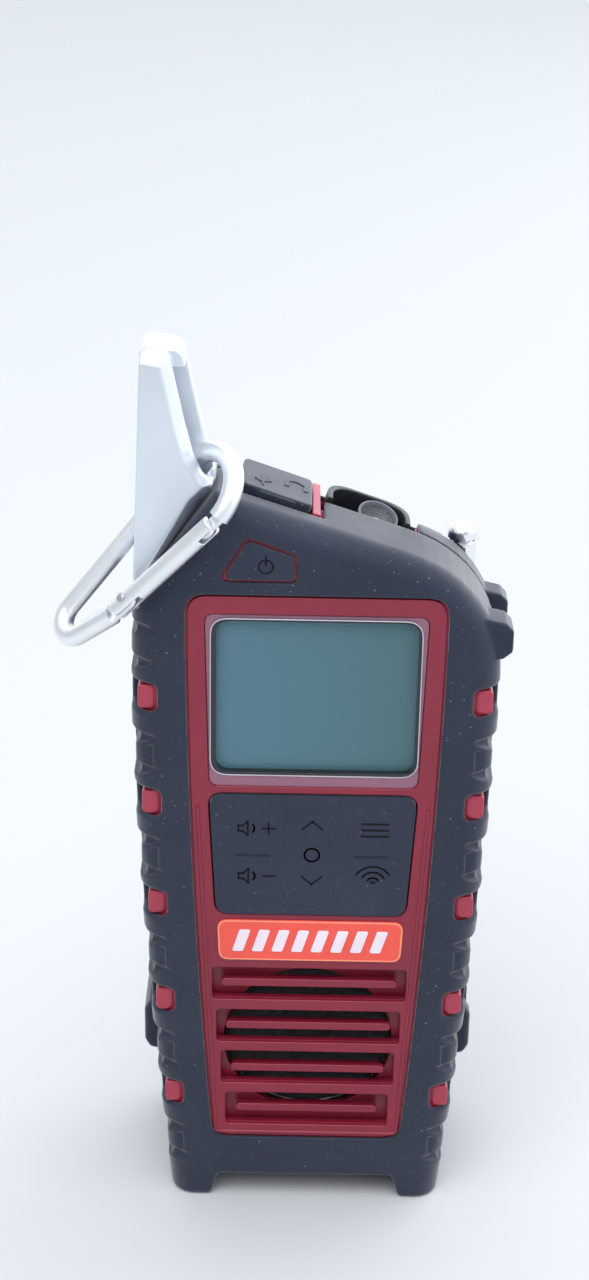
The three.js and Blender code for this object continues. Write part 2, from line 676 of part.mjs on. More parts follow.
add(
  "gear_chassis",
  "charcoal",
  cut(
    slab(chassisShape, 29, 31.4),
    rod(mm(CRANK.x, 20, CRANK.y), mm(CRANK.x, 50, CRANK.y), 3.3),
    rod(mm(IDLER.x, 20, IDLER.y), mm(IDLER.x, 50, IDLER.y), 1.8, 12),
  ),
);

// ---------------------------------------------------------------- crank arm and folding knob

const knobPivot = mm(CRANK.x, (ARM_Y[0] + ARM_Y[1]) / 2, KNOB_PIVOT_Z);

function crankArm() {
  const outline = new THREE.Shape();
  const lean = Math.asin((12.5 - 9) / (CRANK.y - KNOB_PIVOT_Z));
  outline.absarc(CRANK.x, CRANK.y, 12.5, -lean, Math.PI + lean, false);
  outline.absarc(CRANK.x, KNOB_PIVOT_Z, 9, Math.PI + lean, 2 * Math.PI - lean, false);
  outline.closePath();
  const slot = roundedRectangle(CRANK.x - 5, KNOB_PIVOT_Z - 4.2, CRANK.x + 5, 82.4, 3);
  const trunnionHole = rod(knobPivot.clone().setX(CRANK.x - 6.8), knobPivot.clone().setX(CRANK.x + 6.8), 1.8, 12);
  const socket = rod(mm(CRANK.x, 40, CRANK.y), mm(CRANK.x, 47.1 + 3, CRANK.y), 3.3);
  return cut(slab(outline, ...ARM_Y, 12), slab(slot, 40, 60), trunnionHole, socket);
}

add("crank_arm", "charcoal", crankArm());
const capProfile = [[0, 53.5], [7, 53.5], [7, 54], [6, 54.6], [0, 54.6]];
add("crank_cap", "charcoal", turnedAlongY(capProfile, CRANK.x, CRANK.y, 20));
add(
  "crank_knob_post",
  "steel",
  join(
    rod(knobPivot.clone().setX(CRANK.x - 4.6), knobPivot.clone().setX(CRANK.x + 4.6), 2.9),
    rod(knobPivot.clone().setX(CRANK.x - 6.5), knobPivot.clone().setX(CRANK.x + 6.5), 1.5, 12),
    rod(knobPivot, knobPivot.clone().setZ(79.6), 1.8, 12),
  ),
);
const knob = turned(
  [[2.1, 4.2], [3.6, 4.2], [4.2, 5.2], [4.2, 23], [3.4, 24], [2.1, 24], [2.1, 4.2]],
  16,
);
add("crank_knob", "charcoal", knob.translate(...knobPivot));

// ---------------------------------------------------------------- solar panel, battery and its door

add("solar_panel", "solar", box(mm(SOLAR.x0, 44.1, SOLAR.z0), mm(SOLAR.x1, 45.7, SOLAR.z1)));
add("battery_pack", "battery", slab(roundedRectangle(-18.2, 16.8, 18.2, 40.2, 2), 29.5, 42.4));

// The door is hinged along its bottom edge and held by one coin-slot screw.
const DOOR_SCREW = { x: 0, z: 40.4 };
function doorBore(radius) {
  return rod(mm(DOOR_SCREW.x, 30, DOOR_SCREW.z), mm(DOOR_SCREW.x, 60, DOOR_SCREW.z), radius, 12);
}
const doorPlate = slab(roundedRectangle(DOOR.x0, DOOR.z0, DOOR.x1, DOOR.z1, 1.2), 44, 45.9, 2);
add("battery_door", "charcoal", cut(doorPlate, doorBore(2)));
const screwHead = turnedAlongY(
  [[0, 43.2], [1.4, 43.2], [1.4, 46.1], [3.6, 46.1], [3.6, 47], [3, 47.5], [0, 47.5]],
  DOOR_SCREW.x,
  DOOR_SCREW.z,
  16,
);
add("battery_door_screw", "steel", cut(screwHead, box(mm(-3.9, 46.9, 39.9), mm(3.9, 49, 40.9))));

// ---------------------------------------------------------------- antenna

add(
  "antenna_knuckle",
  "chrome",
  cut(
    join(
      rod(mm(ANTENNA.x, 27.7, ANTENNA.z), mm(ANTENNA.x, 34.7, ANTENNA.z), 4.2),
      rod(mm(ANTENNA.x, ANTENNA.y, ANTENNA.z), mm(ANTENNA.x, ANTENNA.y, 43), 2.55, 12),
    ),
    rod(mm(ANTENNA.x, 20, ANTENNA.z), mm(ANTENNA.x, 40, ANTENNA.z), 1.65, 12),
  ),
);
add("antenna_pin", "steel", rod(mm(ANTENNA.x, 24.4, ANTENNA.z), mm(ANTENNA.x, 43.5, ANTENNA.z), 1.35, 12));

const SECTION_R = [3.25, 2.75, 2.3, 1.85, 1.4];
for (let i = 0; i < ANTENNA_SECTIONS - 1; i++) {
  const outer = SECTION_R[i];
  const inner = SECTION_R[i + 1] + 0.15;
  const bottom = i === 0 ? 38.6 : 44.2 + i;
  const top = ANTENNA_TOP_Z + 0.1 * i;
  const tube = turned([[inner, bottom], [outer, bottom], [outer, top], [inner, top], [inner, bottom]], 12);
  add(`antenna_section_${i + 1}`, "chrome", tube.translate(ANTENNA.x, ANTENNA.y, 0));
}
const tip = turned([[0, 49], [1.4, 49], [1.4, 164.6], [3.5, 164.6], [3.5, 166.8], [2.6, 167.7], [0, 168.1]], 12);
add("antenna_tip", "chrome", tip.translate(ANTENNA.x, ANTENNA.y, 0));

// ---------------------------------------------------------------- port bay

const slopeTurn = Math.atan(TOP_SLOPE);
const portDeck = new THREE.Group();
portDeck.position.set(-9.4, 0, topAt(-9.4));
portDeck.rotation.y = slopeTurn;
radio.add(portDeck);
const coverTop = join(
  box(mm(-8.1, 10.1, -1.2), mm(8.1, 26.8, 1.3)),
  box(mm(-6.6, 20.4, -1.5), mm(6.6, 25, -1)),
);
add("port_cover", "rubber", coverTop, portDeck);

function usbShell() {
  const outer = box(usbSocket.low, usbSocket.high);
  const mouth = box(
    mm(usbSocket.low.x + 0.4, usbSocket.low.y + 0.4, usbSocket.low.z + 1),
    mm(usbSocket.high.x - 0.4, usbSocket.high.y - 0.4, 190),
  );
  return cut(outer, mouth);
}
add("usb_socket", "steel", usbShell());
const jack = [[1.6, 0], [2.5, 0], [2.5, 6], [1.6, 6], [1.6, 0]];
add("headphone_jack", "black", turned(jack, 12).translate(-13.4, 22.3, 171.5));

// ---------------------------------------------------------------- torch

const torch = new THREE.Group();
torch.position.copy(torchPlace);
torch.rotation.set(THREE.MathUtils.degToRad(15), slopeTurn, 0, "YXZ");
radio.add(torch);

const bezelPlace = new THREE.Group();
bezelPlace.position.set(12.1, 0, topAt(12.1));
bezelPlace.rotation.y = slopeTurn;
radio.add(bezelPlace);

// A shape in x and y, extruded up from z0 to z1.
function deck(shape, z0, z1) {
  return solidOf(
    new THREE.ExtrudeGeometry(shape, { depth: z1 - z0, bevelEnabled: false, curveSegments: 3 }).translate(0, 0, z0),
  );
}
const bezelOutline = [[-10.8, 20.7], [9, 20.7], [9, 30.8], [-6.2, 30.8], [-10.8, 25.8]];
const bezelOuter = deck(roundedShape(bezelOutline, 3), -4.6, 0.8);
const hollowOutline = [[-9.7, 19], [7.9, 19], [7.9, 29.7], [-5.7, 29.7], [-9.7, 25.3]];
const bezelHollow = deck(roundedShape(hollowOutline, 2), -3.6, 3);
add("torch_bezel", "black", cut(bezelOuter, bezelHollow), bezelPlace);
const reflectorProfile = [
  [1.5, -0.9], [2.2, -0.9], [4.5, 0.6], [4.5, 2.2], [4.1, 2.2], [4.1, 1], [1.5, -0.6], [1.5, -0.9],
];
add(
  "torch_reflector",
  "chrome",
  turned(reflectorProfile, 24).translate(1.6, 0, 0.6),
  torch,
);
add("torch_lens", "clear", turned([[0, 0], [3.8, 0], [3.8, 0.7], [0, 1.2]], 24).translate(1.6, 0, 2), torch);

// ---------------------------------------------------------------- bracket and carabiner

// The bracket's front outline. Its foot follows the cut corner of the body.
const BRACKET_Y = { face: 3, slot: 7.5, back: 14.5, rear: 18 };
const bracketOutline = [
  [-40.9, 160.3], [-23.6, 184.1], [-22.6, 186.4], [-25.2, 188.6], [-27.3, 193.4],
  [-29, 200], [-30.6, 207.5], [-32, 214.4], [-33.6, 215.6], [-38.6, 216.6], [-39.9, 214.9],
];
const BACK_PLATE_STEP = 2.4; // the back plate reaches further over the slot than the front plate

function carabinerBracket() {
  const front = slab(roundedShape(insetPoints(bracketOutline, 0.25), 1.2), BRACKET_Y.face, BRACKET_Y.slot + 1, 2);
  const wide = bracketOutline.map(([x, z], i) => (i > 2 && i < 9 ? [x + BACK_PLATE_STEP, z] : [x, z]));
  const back = slab(roundedShape(wide, 1.2), BRACKET_Y.slot + 0.5, BRACKET_Y.rear, 2);
  const foot = [CORNER_LOW, CORNER_HIGH].map(([x, z]) => new THREE.Vector2(x, z));
  const along = foot[1].clone().sub(foot[0]).normalize();
  const out = new THREE.Vector2(-along.y, along.x);
  const floor = [
    foot[0].clone().addScaledVector(along, -30).addScaledVector(out, 3.4),
    foot[1].clone().addScaledVector(along, 30).addScaledVector(out, 3.4),
  ];
  const slotShape = roundedShape(
    [[floor[0].x, floor[0].y], [floor[1].x, floor[1].y], [-20, 211.4], [-60, 211.4]],
    0,
  );
  return cut(join(front, back), slab(slotShape, BRACKET_Y.slot, BRACKET_Y.back));
}
add("carabiner_bracket", "silver", carabinerBracket());

// The ring lies in a tilted plane: e1 runs along it and e2 across it, from the bar in the slot to the gate.
const ringE1 = mm(0.656, 0, 0.755).normalize();
const ringE2 = mm(0.37, -0.87, -0.3215).normalize();
const ringNormal = ringE1.clone().cross(ringE2).normalize();
const ringOrigin = mm(-33.3, 11, 183); // on the rear bar
const WIDE_R = 9.6;
const NARROW_R = 6.4;
const WIDE_U = 6.6;
const NARROW_U = -27;
const WIRE_R = 2.25;
const halfAt = (u) => NARROW_R + ((WIDE_R - NARROW_R) * (u - NARROW_U)) / (WIDE_U - NARROW_U);
const axisV = halfAt(0);
const END = { u: -34.3, r: 4.5 }; // the narrow end's bend, past the hinge
const inRing = (u, v) => ringOrigin.clone().addScaledVector(ringE1, u).addScaledVector(ringE2, v);

const GATE_U = { pin: -21, hinge: -23.6, nose: 5.6 };

// The wire's centre line, from the nose round the wide end, along the slot, round the narrow end to the hinge.
function ringPath() {
  const points = [];
  const lean = Math.asin((WIDE_R - NARROW_R) / (WIDE_U - NARROW_U));
  points.push(inRing(GATE_U.nose + 0.6, axisV + halfAt(GATE_U.nose + 0.6)));
  for (let a = -90 + THREE.MathUtils.radToDeg(lean); a <= 90; a += 20) {
    const t = THREE.MathUtils.degToRad(a);
    points.push(inRing(WIDE_U + WIDE_R * Math.cos(t), axisV - WIDE_R * Math.sin(t)));
  }
  for (const u of [WIDE_U - 8, -6, -14, -22, END.u + 5]) points.push(inRing(u, axisV - halfAt(u)));
  const endV = axisV - halfAt(END.u) + END.r;
  for (let a = 90; a <= 255; a += 27.5) {
    const t = THREE.MathUtils.degToRad(a);
    points.push(inRing(END.u + END.r * Math.cos(t), endV - END.r * Math.sin(t)));
  }
  points.push(inRing(GATE_U.hinge, axisV + halfAt(GATE_U.hinge)));
  return new THREE.CatmullRomCurve3(points, false, "centripetal");
}

// A round bar along a curve.
function wire(curve, radius, steps, sides = 8) {
  const section = new THREE.Shape();
  section.absarc(0, 0, radius, 0, 2 * Math.PI, false);
  const geometry = new THREE.ExtrudeGeometry(section, {
    steps,
    curveSegments: sides / 2,
    bevelEnabled: false,
    extrudePath: curve,
  });
  return solidOf(geometry);
}

const gateStart = inRing(GATE_U.hinge + 0.9, axisV + halfAt(GATE_U.hinge + 0.9));
const gateEnd = inRing(GATE_U.nose, axisV + halfAt(GATE_U.nose));
const pinCentre = inRing(GATE_U.pin, axisV + halfAt(GATE_U.pin));
const pinFrom = (half) => pinCentre.clone().addScaledVector(ringNormal, -half);
const pinTo = (half) => pinCentre.clone().addScaledVector(ringNormal, half);

// The hinge tab reaches from the wire's end into the gate, where the rivet crosses both.
const tabEnd = inRing(GATE_U.pin + 1.6, axisV + halfAt(GATE_U.pin + 1.6));
const tab = rod(inRing(GATE_U.hinge - 1, axisV + halfAt(GATE_U.hinge - 1)), tabEnd, 1.15, 8);
add(
  "carabiner_ring",
  "silver",
  cut(join(wire(ringPath(), WIRE_R, 48), tab), rod(pinFrom(3), pinTo(3), 0.75, 8)),
);
const gateBore = rod(gateStart.clone().addScaledVector(gateStart.clone().sub(gateEnd).normalize(), 2),
  inRing(GATE_U.pin + 6, axisV + halfAt(GATE_U.pin + 6)), 1.5, 8);
add(
  "carabiner_gate",
  "silver",
  cut(rod(gateStart, gateEnd, WIRE_R, 12), gateBore, rod(pinFrom(4), pinTo(4), 0.75, 8)),
);
add("carabiner_rivet", "steel", rod(pinFrom(2.7), pinTo(2.7), 0.5, 8));

// ---------------------------------------------------------------- stand the radio on the origin

const STAND = mm(7.35, -23.6, 0);
radio.position.copy(STAND);

export default radio;
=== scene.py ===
"""Looks of the emergency radio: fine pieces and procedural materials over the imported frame.

Lengths in this file are millimetres in the radio's own frame (X right, Y into its depth from the front
face, Z up from the feet) until row() turns them into metres in the row frame.
"""

import math
from functools import reduce

import bmesh
import bpy
import numpy as np
from mathutils import Matrix, Vector


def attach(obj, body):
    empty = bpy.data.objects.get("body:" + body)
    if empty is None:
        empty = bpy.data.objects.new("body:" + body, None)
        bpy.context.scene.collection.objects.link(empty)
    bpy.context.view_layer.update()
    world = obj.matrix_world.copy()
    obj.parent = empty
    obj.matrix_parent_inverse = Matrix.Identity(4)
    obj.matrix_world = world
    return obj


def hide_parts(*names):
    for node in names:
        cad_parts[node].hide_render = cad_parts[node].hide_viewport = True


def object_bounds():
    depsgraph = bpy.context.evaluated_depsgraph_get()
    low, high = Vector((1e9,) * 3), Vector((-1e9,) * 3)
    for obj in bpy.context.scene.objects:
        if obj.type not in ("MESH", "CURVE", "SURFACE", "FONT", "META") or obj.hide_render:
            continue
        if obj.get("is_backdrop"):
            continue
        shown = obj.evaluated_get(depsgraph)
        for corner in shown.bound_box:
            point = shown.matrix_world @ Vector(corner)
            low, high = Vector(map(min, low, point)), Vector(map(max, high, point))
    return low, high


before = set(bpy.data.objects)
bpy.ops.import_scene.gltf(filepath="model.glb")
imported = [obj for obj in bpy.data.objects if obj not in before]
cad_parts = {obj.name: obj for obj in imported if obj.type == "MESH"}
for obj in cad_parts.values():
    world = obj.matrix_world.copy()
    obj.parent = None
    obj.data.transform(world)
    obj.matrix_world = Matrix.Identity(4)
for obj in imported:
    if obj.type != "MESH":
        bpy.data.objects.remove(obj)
cad_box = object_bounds()

# ---- frame and dimensions

MM = 0.001
STAND = Vector((7.35, -23.6, 0.0))
TO_ROW = Matrix.Scale(MM, 4) @ Matrix.Translation(STAND)

DEPTH = 46.0
HALF_WIDTH = 41.5
BELLY_HALF_WIDTH = 40.7  # what the sides' curve is drawn towards, halfway up
BASE_HALF_WIDTH = 33.0
SHOULDER_Z = 141.0
TOP_Z = 177.9
TOP_SLOPE = 0.345
EDGE_ROUND = 6.0
LEAN_Y = 27.5
LEAN_SLOPE = 0.75
RUBBER = 1.75
RUBBER_FACE = 1.25
GAP = 0.3
LINER = 1.1  # the rubber left behind a groove, so that the case doesn't show in it
SEAM_Y = 20.0
CASE_SEAM_Y = 23.0
ARCH_Z = 6.3
CASE_BOTTOM_Z = 8.4
WALL = 1.8  # of the red case
PANEL_Y = 0.5
WINDOW_Z = [136.8 - 26.7 * i for i in range(5)]
SLOPE_ANGLE = math.atan(TOP_SLOPE)
CRANK = Vector((-3.0, 98.0))
KNOB_PIVOT_Z = 55.0
ANTENNA = Vector((33.3, 31.2, 34.0))

FINE = 0.36  # spacing of the grid that the rounded shells are sampled on
COARSE = 0.55


def top_at(x):
    return TOP_Z - TOP_SLOPE * x


# ---- outlines in x and z


def quadratic(a, b, c, count):
    """Points along a quadratic curve from a to c."""
    points = []
    for i in range(count + 1):
        t = i / count
        u = 1 - t
        points.append(tuple(u * u * p + 2 * u * t * q + t * t * r for p, q, r in zip(a, b, c)))
    return points


def half_width_at(z):
    t = z / 150
    u = 1 - t
    return u * u * BASE_HALF_WIDTH + 2 * u * t * BELLY_HALF_WIDTH + t * t * HALF_WIDTH


CORNER_LOW = (-41.0, 159.3)
CORNER_HIGH = (-22.4, 184.9)


def mirrored(points):
    """The same line on the other side, drawn the other way round."""
    return [(-x, z) for x, z in reversed(points)]


def tapered(half0, z0, half1, z1):
    """Four corners, half0 to each side at z0 and half1 at z1."""
    return [(-half0, z0), (half0, z0), (half1, z1), (-half1, z1)]


def body_outline(bottom):
    side = quadratic((BASE_HALF_WIDTH, 0), (BELLY_HALF_WIDTH, 75), (HALF_WIDTH, 135), 16)
    side = [p for p in side if p[1] > bottom + 4]
    shoulder = quadratic((HALF_WIDTH, SHOULDER_Z), (41.2, top_at(41.2)), (20, top_at(20)), 12)
    base = half_width_at(bottom)
    top = shoulder + [CORNER_HIGH, CORNER_LOW]
    return [(-base, bottom), (base, bottom)] + side + top + mirrored(side)


def rounded(points, radius, steps=5):
    """A closed outline through points, each sharp corner replaced by an arc-like curve."""
    out = []
    count = len(points)
    for i, corner in enumerate(points):
        c = Vector(corner)
        a = Vector(points[i - 1])
        b = Vector(points[(i + 1) % count])
        inward, outward = c - a, b - c
        cross = inward.x * outward.y - inward.y * outward.x
        turn = abs(math.atan2(cross, inward.dot(outward)))
        reach = radius * math.tan(turn / 2) if turn > 0.2 else 0
        reach = min(reach, 0.47 * inward.length, 0.47 * outward.length)
        if reach <= 0:
            out.append(tuple(c))
            continue
        start = c - inward.normalized() * reach
        end = c + outward.normalized() * reach
        out += quadratic(tuple(start), tuple(c), tuple(end), steps)
    return out


def rounded_box(x0, z0, x1, z1, radius, steps=5):
    return rounded([(x0, z0), (x1, z0), (x1, z1), (x0, z1)], radius, steps)


def circle(x, z, radius, count=48):
    return [
        (x + radius * math.cos(2 * math.pi * i / count), z + radius * math.sin(2 * math.pi * i / count))
        for i in range(count)
    ]


def inset(points, amount):
    """Moves each edge of an outline drawn anticlockwise inwards."""
    out = []
    count = len(points)
    for i, corner in enumerate(points):
        c = Vector(corner)
        a = (c - Vector(points[i - 1])).normalized()
        b = (Vector(points[(i + 1) % count]) - c).normalized()
        normal = Vector((-a.y - b.y, a.x + b.x)).normalized()
        reach = amount / max(0.4, normal.dot(Vector((-a.y, a.x))))
        out.append(tuple(c + normal * reach))
    return out


def panel_outline(grow):
    side = quadratic((22.5 + grow, 17.8 - grow), (28 + grow, 85), (28.7 + grow, 150), 8)
    top = [(28.7 + grow, 162 + grow), (-28.7 - grow, 162 + grow)]
    return rounded(side + top + mirrored(side), 4.5)


def lens_outline(grow):
    return rounded(tapered(23.6 + grow, 115 - grow, 24.7 + grow, 157.5 + grow), 2.2)


def pad_corners(grow):
    return tapered(22 + grow, 81.3 - grow, 23.7 + grow, 112.8 + grow)


POWER = [(-21.9, 165.5), (-4.6, 165.5), (-4.5, 171.9), (-15.6, 175.9)]
DISPLAY = rounded_box(-22.8, 118.5, 22.8, 156, 3.5)
# for each louvre of the grille: the opening's top, bottom and half width, then the bar's half width and z
LOUVRES = [
    (66.2, 57.3, 23.0, 20.8, 61.7),
    (54.4, 45.2, 21.9, 19.7, 49.6),
    (42.6, 33.3, 20.8, 18.5, 37.4),
    (30.5, 21.2, 19.7, 17.2, 25.7),
]
SPEAKER_Z = 43.9

# ---- rounded shells from distance fields


class Field:
    """A grid of signed distances, negative inside the material."""

    def __init__(self, low, high, step):
        self.low = np.array(low, np.float32)
        self.step = step
        axes = [np.arange(a, b + step, step, dtype=np.float32) for a, b in zip(low, high)]
        self.x = axes[0][:, None, None]
        self.y = axes[1][None, :, None]
        self.z = axes[2][None, None, :]

    def outline(self, points):
        """Signed distance to a closed outline in x and z."""
        distance = np.full((self.x.shape[0], 1, self.z.shape[2]), 1e9, np.float32)
        inside = np.zeros(distance.shape, bool)
        for (ax, az), (bx, bz) in zip(points, points[1:] + points[:1]):
            ex, ez = bx - ax, bz - az
            length = max(ex * ex + ez * ez, 1e-12)
            px, pz = self.x - ax, self.z - az
            t = np.clip((px * ex + pz * ez) / length, 0, 1)
            distance = np.minimum(distance, (px - ex * t) ** 2 + (pz - ez * t) ** 2)
            if az != bz:
                crosses = (az > self.z) != (bz > self.z)
                inside ^= crosses & (self.x < ax + (self.z - az) * ex / ez)
        distance = np.sqrt(distance)
        return np.where(inside, -distance, distance)

    def extrude(self, flat, y0, y1, round_by=0.0):
        """A field in x and z made solid from y0 to y1, its rims rounded."""
        a = flat + round_by
        b = np.abs(self.y - (y0 + y1) / 2) - (y1 - y0) / 2 + round_by
        outside = np.sqrt(np.maximum(a, 0) ** 2 + np.maximum(b, 0) ** 2)
        return np.minimum(np.maximum(a, b), 0) + outside - round_by

    def prism(self, points, y0, y1, round_by=0.0):
        return self.extrude(self.outline(points), y0, y1, round_by)

    def box(self, low, high, round_by=0.0):
        q = []
        for axis, a, b in zip((self.x, self.y, self.z), low, high):
            q.append(np.abs(axis - (a + b) / 2) - (b - a) / 2 + round_by)
        outside = np.sqrt(sum(np.maximum(v, 0) ** 2 for v in q))
        return np.minimum(np.maximum(np.maximum(q[0], q[1]), q[2]), 0) + outside - round_by

    def taper(self, a, b, radius_a, radius_b):
        """A round bar from a to b whose radius changes along it."""
        a, b = np.array(a, float), np.array(b, float)
        e = b - a
        px, py, pz = self.x - a[0], self.y - a[1], self.z - a[2]
        t = np.clip((px * e[0] + py * e[1] + pz * e[2]) / (e @ e), 0, 1)
        gap = np.sqrt((px - e[0] * t) ** 2 + (py - e[1] * t) ** 2 + (pz - e[2] * t) ** 2)
        return gap - (radius_a + (radius_b - radius_a) * t)

    def lean(self, inset_by):
        """The half-space above the top's fall towards the back."""
        height = self.z - (top_at(self.x) - inset_by - LEAN_SLOPE * (self.y - LEAN_Y))
        return height / math.sqrt(1 + TOP_SLOPE**2 + LEAN_SLOPE**2)


def soft_max(a, b, blend):
    h = np.maximum(blend - np.abs(a - b), 0) / blend
    return np.maximum(a, b) + h * h * blend * 0.25


def soft_min(a, b, blend):
    return -soft_max(-a, -b, blend)


def cut_from(solid, blend, *holes):
    """Takes holes out of a solid one after another, each edge softened by blend."""
    for hole in holes:
        solid = soft_max(solid, -hole, blend)
    return solid


def net(grid, f):
    """The surface where the field is zero, as vertices and four-cornered faces."""
    f = np.pad(f.astype(np.float32), 1, constant_values=5.0)
    low = grid.low - grid.step
    below = f < 0
    nx, ny, nz = (n - 1 for n in f.shape)
    count = np.zeros((nx, ny, nz), np.int8)
    corners = [(i, j, k) for i in (0, 1) for j in (0, 1) for k in (0, 1)]
    for i, j, k in corners:
        count += below[i : i + nx, j : j + ny, k : k + nz]
    cells = np.argwhere((count > 0) & (count < 8))
    index = np.full((nx, ny, nz), -1, np.int64)
    index[tuple(cells.T)] = np.arange(len(cells))
    total = np.zeros((len(cells), 3))
    hits = np.zeros(len(cells))
    for a in corners:
        for axis in range(3):
            if a[axis]:
                continue
            b = list(a)
            b[axis] = 1
            fa = f[tuple((cells + a).T)]
            fb = f[tuple((cells + b).T)]
            crossing = (fa < 0) != (fb < 0)
            t = np.where(crossing, fa / np.where(crossing, fa - fb, 1), 0)
            point = np.tile(np.array(a, float), (len(cells), 1))
            point[:, axis] += t
            total += point * crossing[:, None]
            hits += crossing
    vertices = low + (cells + total / hits[:, None]) * grid.step
    faces = []
    for axis in range(3):
        u, v = (axis + 1) % 3, (axis + 2) % 3
        ahead = [slice(None)] * 3
        ahead[axis] = slice(1, None)
        back = [slice(None)] * 3
        back[axis] = slice(0, -1)
        change = np.argwhere(below[tuple(back)] != below[tuple(ahead)])
        keep = (change[:, u] > 0) & (change[:, v] > 0)
        keep &= (change[:, u] < f.shape[u] - 1) & (change[:, v] < f.shape[v] - 1)
        change = change[keep]
        starts_inside = below[tuple(change.T)]
        quad = []
        for du, dv in ((0, 0), (-1, 0), (-1, -1), (0, -1)):
            cell = change.copy()
            cell[:, u] += du
            cell[:, v] += dv
            quad.append(index[tuple(cell.T)])
        quad = np.stack(quad, 1)
        quad[~starts_inside] = quad[~starts_inside][:, ::-1]
        faces.append(quad)
    return vertices, np.concatenate(faces)


# ---- making pieces

# the record's material slot of each look, where it isn't called the same as the look
SLOTS = {
    "rubber_jacket": "rubber", "rubber_keys": "rubber", "legend": "rubber", "red_case": "red_plastic",
    "red_panel": "red_plastic", "gloss_black": "black_plastic", "charcoal": "charcoal_plastic",
    "frosted_lens": "clear", "clear_pane": "clear", "lens_edge_highlight": "clear", "display_grey": "display",
    "badge_red": "badge", "badge_edge": "badge", "badge_white": "badge", "solar_glass": "solar_cell",
    "torch_grey": "chrome", "bracket_silver": "silver", "carabiner_silver": "silver",
}


def in_scene(name, data):
    obj = bpy.data.objects.new(name, data)
    bpy.context.scene.collection.objects.link(obj)
    return obj


def keep(name, obj, look, *replaces, body="case", slot=None):
    """Names a finished piece, gives it its look and lets it ride on its body."""
    obj.name = name
    obj.data.name = name
    obj.data.materials.clear()
    obj.data.materials.append(MATERIALS[look])
    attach(obj, body)
    slot or SLOTS.get(look, look)
    if replaces:
        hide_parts(*replaces)


def object_of(mesh, smooth_angle):
    obj = in_scene("piece", mesh)
    for polygon in mesh.polygons:
        polygon.use_smooth = True
    mesh.set_sharp_from_angle(angle=math.radians(smooth_angle))
    obj.modifiers.new("WeightedNormal", "WEIGHTED_NORMAL").keep_sharp = True
    return obj


def clean(mesh, weld, sliver=None):
    """Welds close points, drops slivers and turns the faces outwards."""
    work = bmesh.new()
    work.from_mesh(mesh)
    bmesh.ops.remove_doubles(work, verts=work.verts, dist=weld)
    if sliver:
        bmesh.ops.dissolve_degenerate(work, dist=sliver, edges=work.edges)
    bmesh.ops.recalc_face_normals(work, faces=work.faces)
    work.to_mesh(mesh)
    work.free()


def shell(grid, f, place=Matrix.Identity(4)):
    """A smooth object from a distance field."""
    vertices, faces = net(grid, f)
    mesh = bpy.data.meshes.new("shell")
    mesh.vertices.add(len(vertices))
    mesh.vertices.foreach_set("co", vertices.astype(np.float32).ravel())
    mesh.loops.add(faces.size)
    mesh.loops.foreach_set("vertex_index", faces.astype(np.int32).ravel())
    mesh.polygons.add(len(faces))
    mesh.polygons.foreach_set("loop_start", np.arange(0, faces.size, 4, dtype=np.int32))
    mesh.update(calc_edges=True)
    mesh.validate()
    mesh.transform(TO_ROW @ place)
    return object_of(mesh, 60)


def mesh_from(vertices, faces, place=Matrix.Identity(4)):
    mesh = bpy.data.meshes.new("mesh")
    mesh.from_pydata([tuple(v) for v in vertices], [], faces)
    mesh.transform(TO_ROW @ place)
    return mesh


def plate(outlines, y0, y1, bevel=0.3, place=Matrix.Identity(4), steps=3):
    """A plate drawn in x and z with rounded rims: the first outline is the rim, the others are holes."""
    curve = bpy.data.curves.new("plate", "CURVE")
    curve.dimensions = "2D"
    curve.fill_mode = "BOTH"
    curve.extrude = (y1 - y0) / 2 - bevel
    curve.bevel_depth = bevel
    curve.bevel_resolution = steps
    curve.offset = -bevel
    for points in outlines:
        spline = curve.splines.new("POLY")
        spline.points.add(len(points) - 1)
        for point, (x, z) in zip(spline.points, points):
            point.co = (x, z, 0, 1)
        spline.use_cyclic_u = True
    source = in_scene("plate", curve)
    bpy.context.view_layer.update()
    graph = bpy.context.evaluated_depsgraph_get()
    mesh = bpy.data.meshes.new_from_object(source.evaluated_get(graph))
    bpy.data.objects.remove(source)
    clean(mesh, 1e-4, 1e-5)
    stand_up = Matrix.Translation((0, (y0 + y1) / 2, 0)) @ Matrix.Rotation(math.radians(90), 4, "X")
    mesh.transform(TO_ROW @ place @ stand_up)
    return object_of(mesh, 30)


def turned(profile, origin, axis, count=48):
    """A turned piece: the profile holds (radius, distance along the axis) pairs."""
    axis = Vector(axis).normalized()
    turn = Vector((0, 0, 1)).rotation_difference(axis).to_matrix().to_4x4()
    vertices, faces, rings = [], [], []
    for radius, along in profile:
        if radius <= 1e-6:
            rings.append([len(vertices)])
            vertices.append((0, 0, along))
            continue
        rings.append(list(range(len(vertices), len(vertices) + count)))
        for i in range(count):
            a = 2 * math.pi * i / count
            vertices.append((radius * math.cos(a), radius * math.sin(a), along))
    for lower, upper in zip(rings, rings[1:]):
        if len(lower) == 1 and len(upper) == 1:
            continue
        for i in range(count):
            j = (i + 1) % count
            if len(lower) == 1:
                faces.append((lower[0], upper[j], upper[i]))
            elif len(upper) == 1:
                faces.append((lower[i], lower[j], upper[0]))
            else:
                faces.append((lower[i], lower[j], upper[j], upper[i]))
    mesh = mesh_from(vertices, faces, Matrix.Translation(Vector(origin)) @ turn)
    clean(mesh, 1e-8)
    return object_of(mesh, 32)


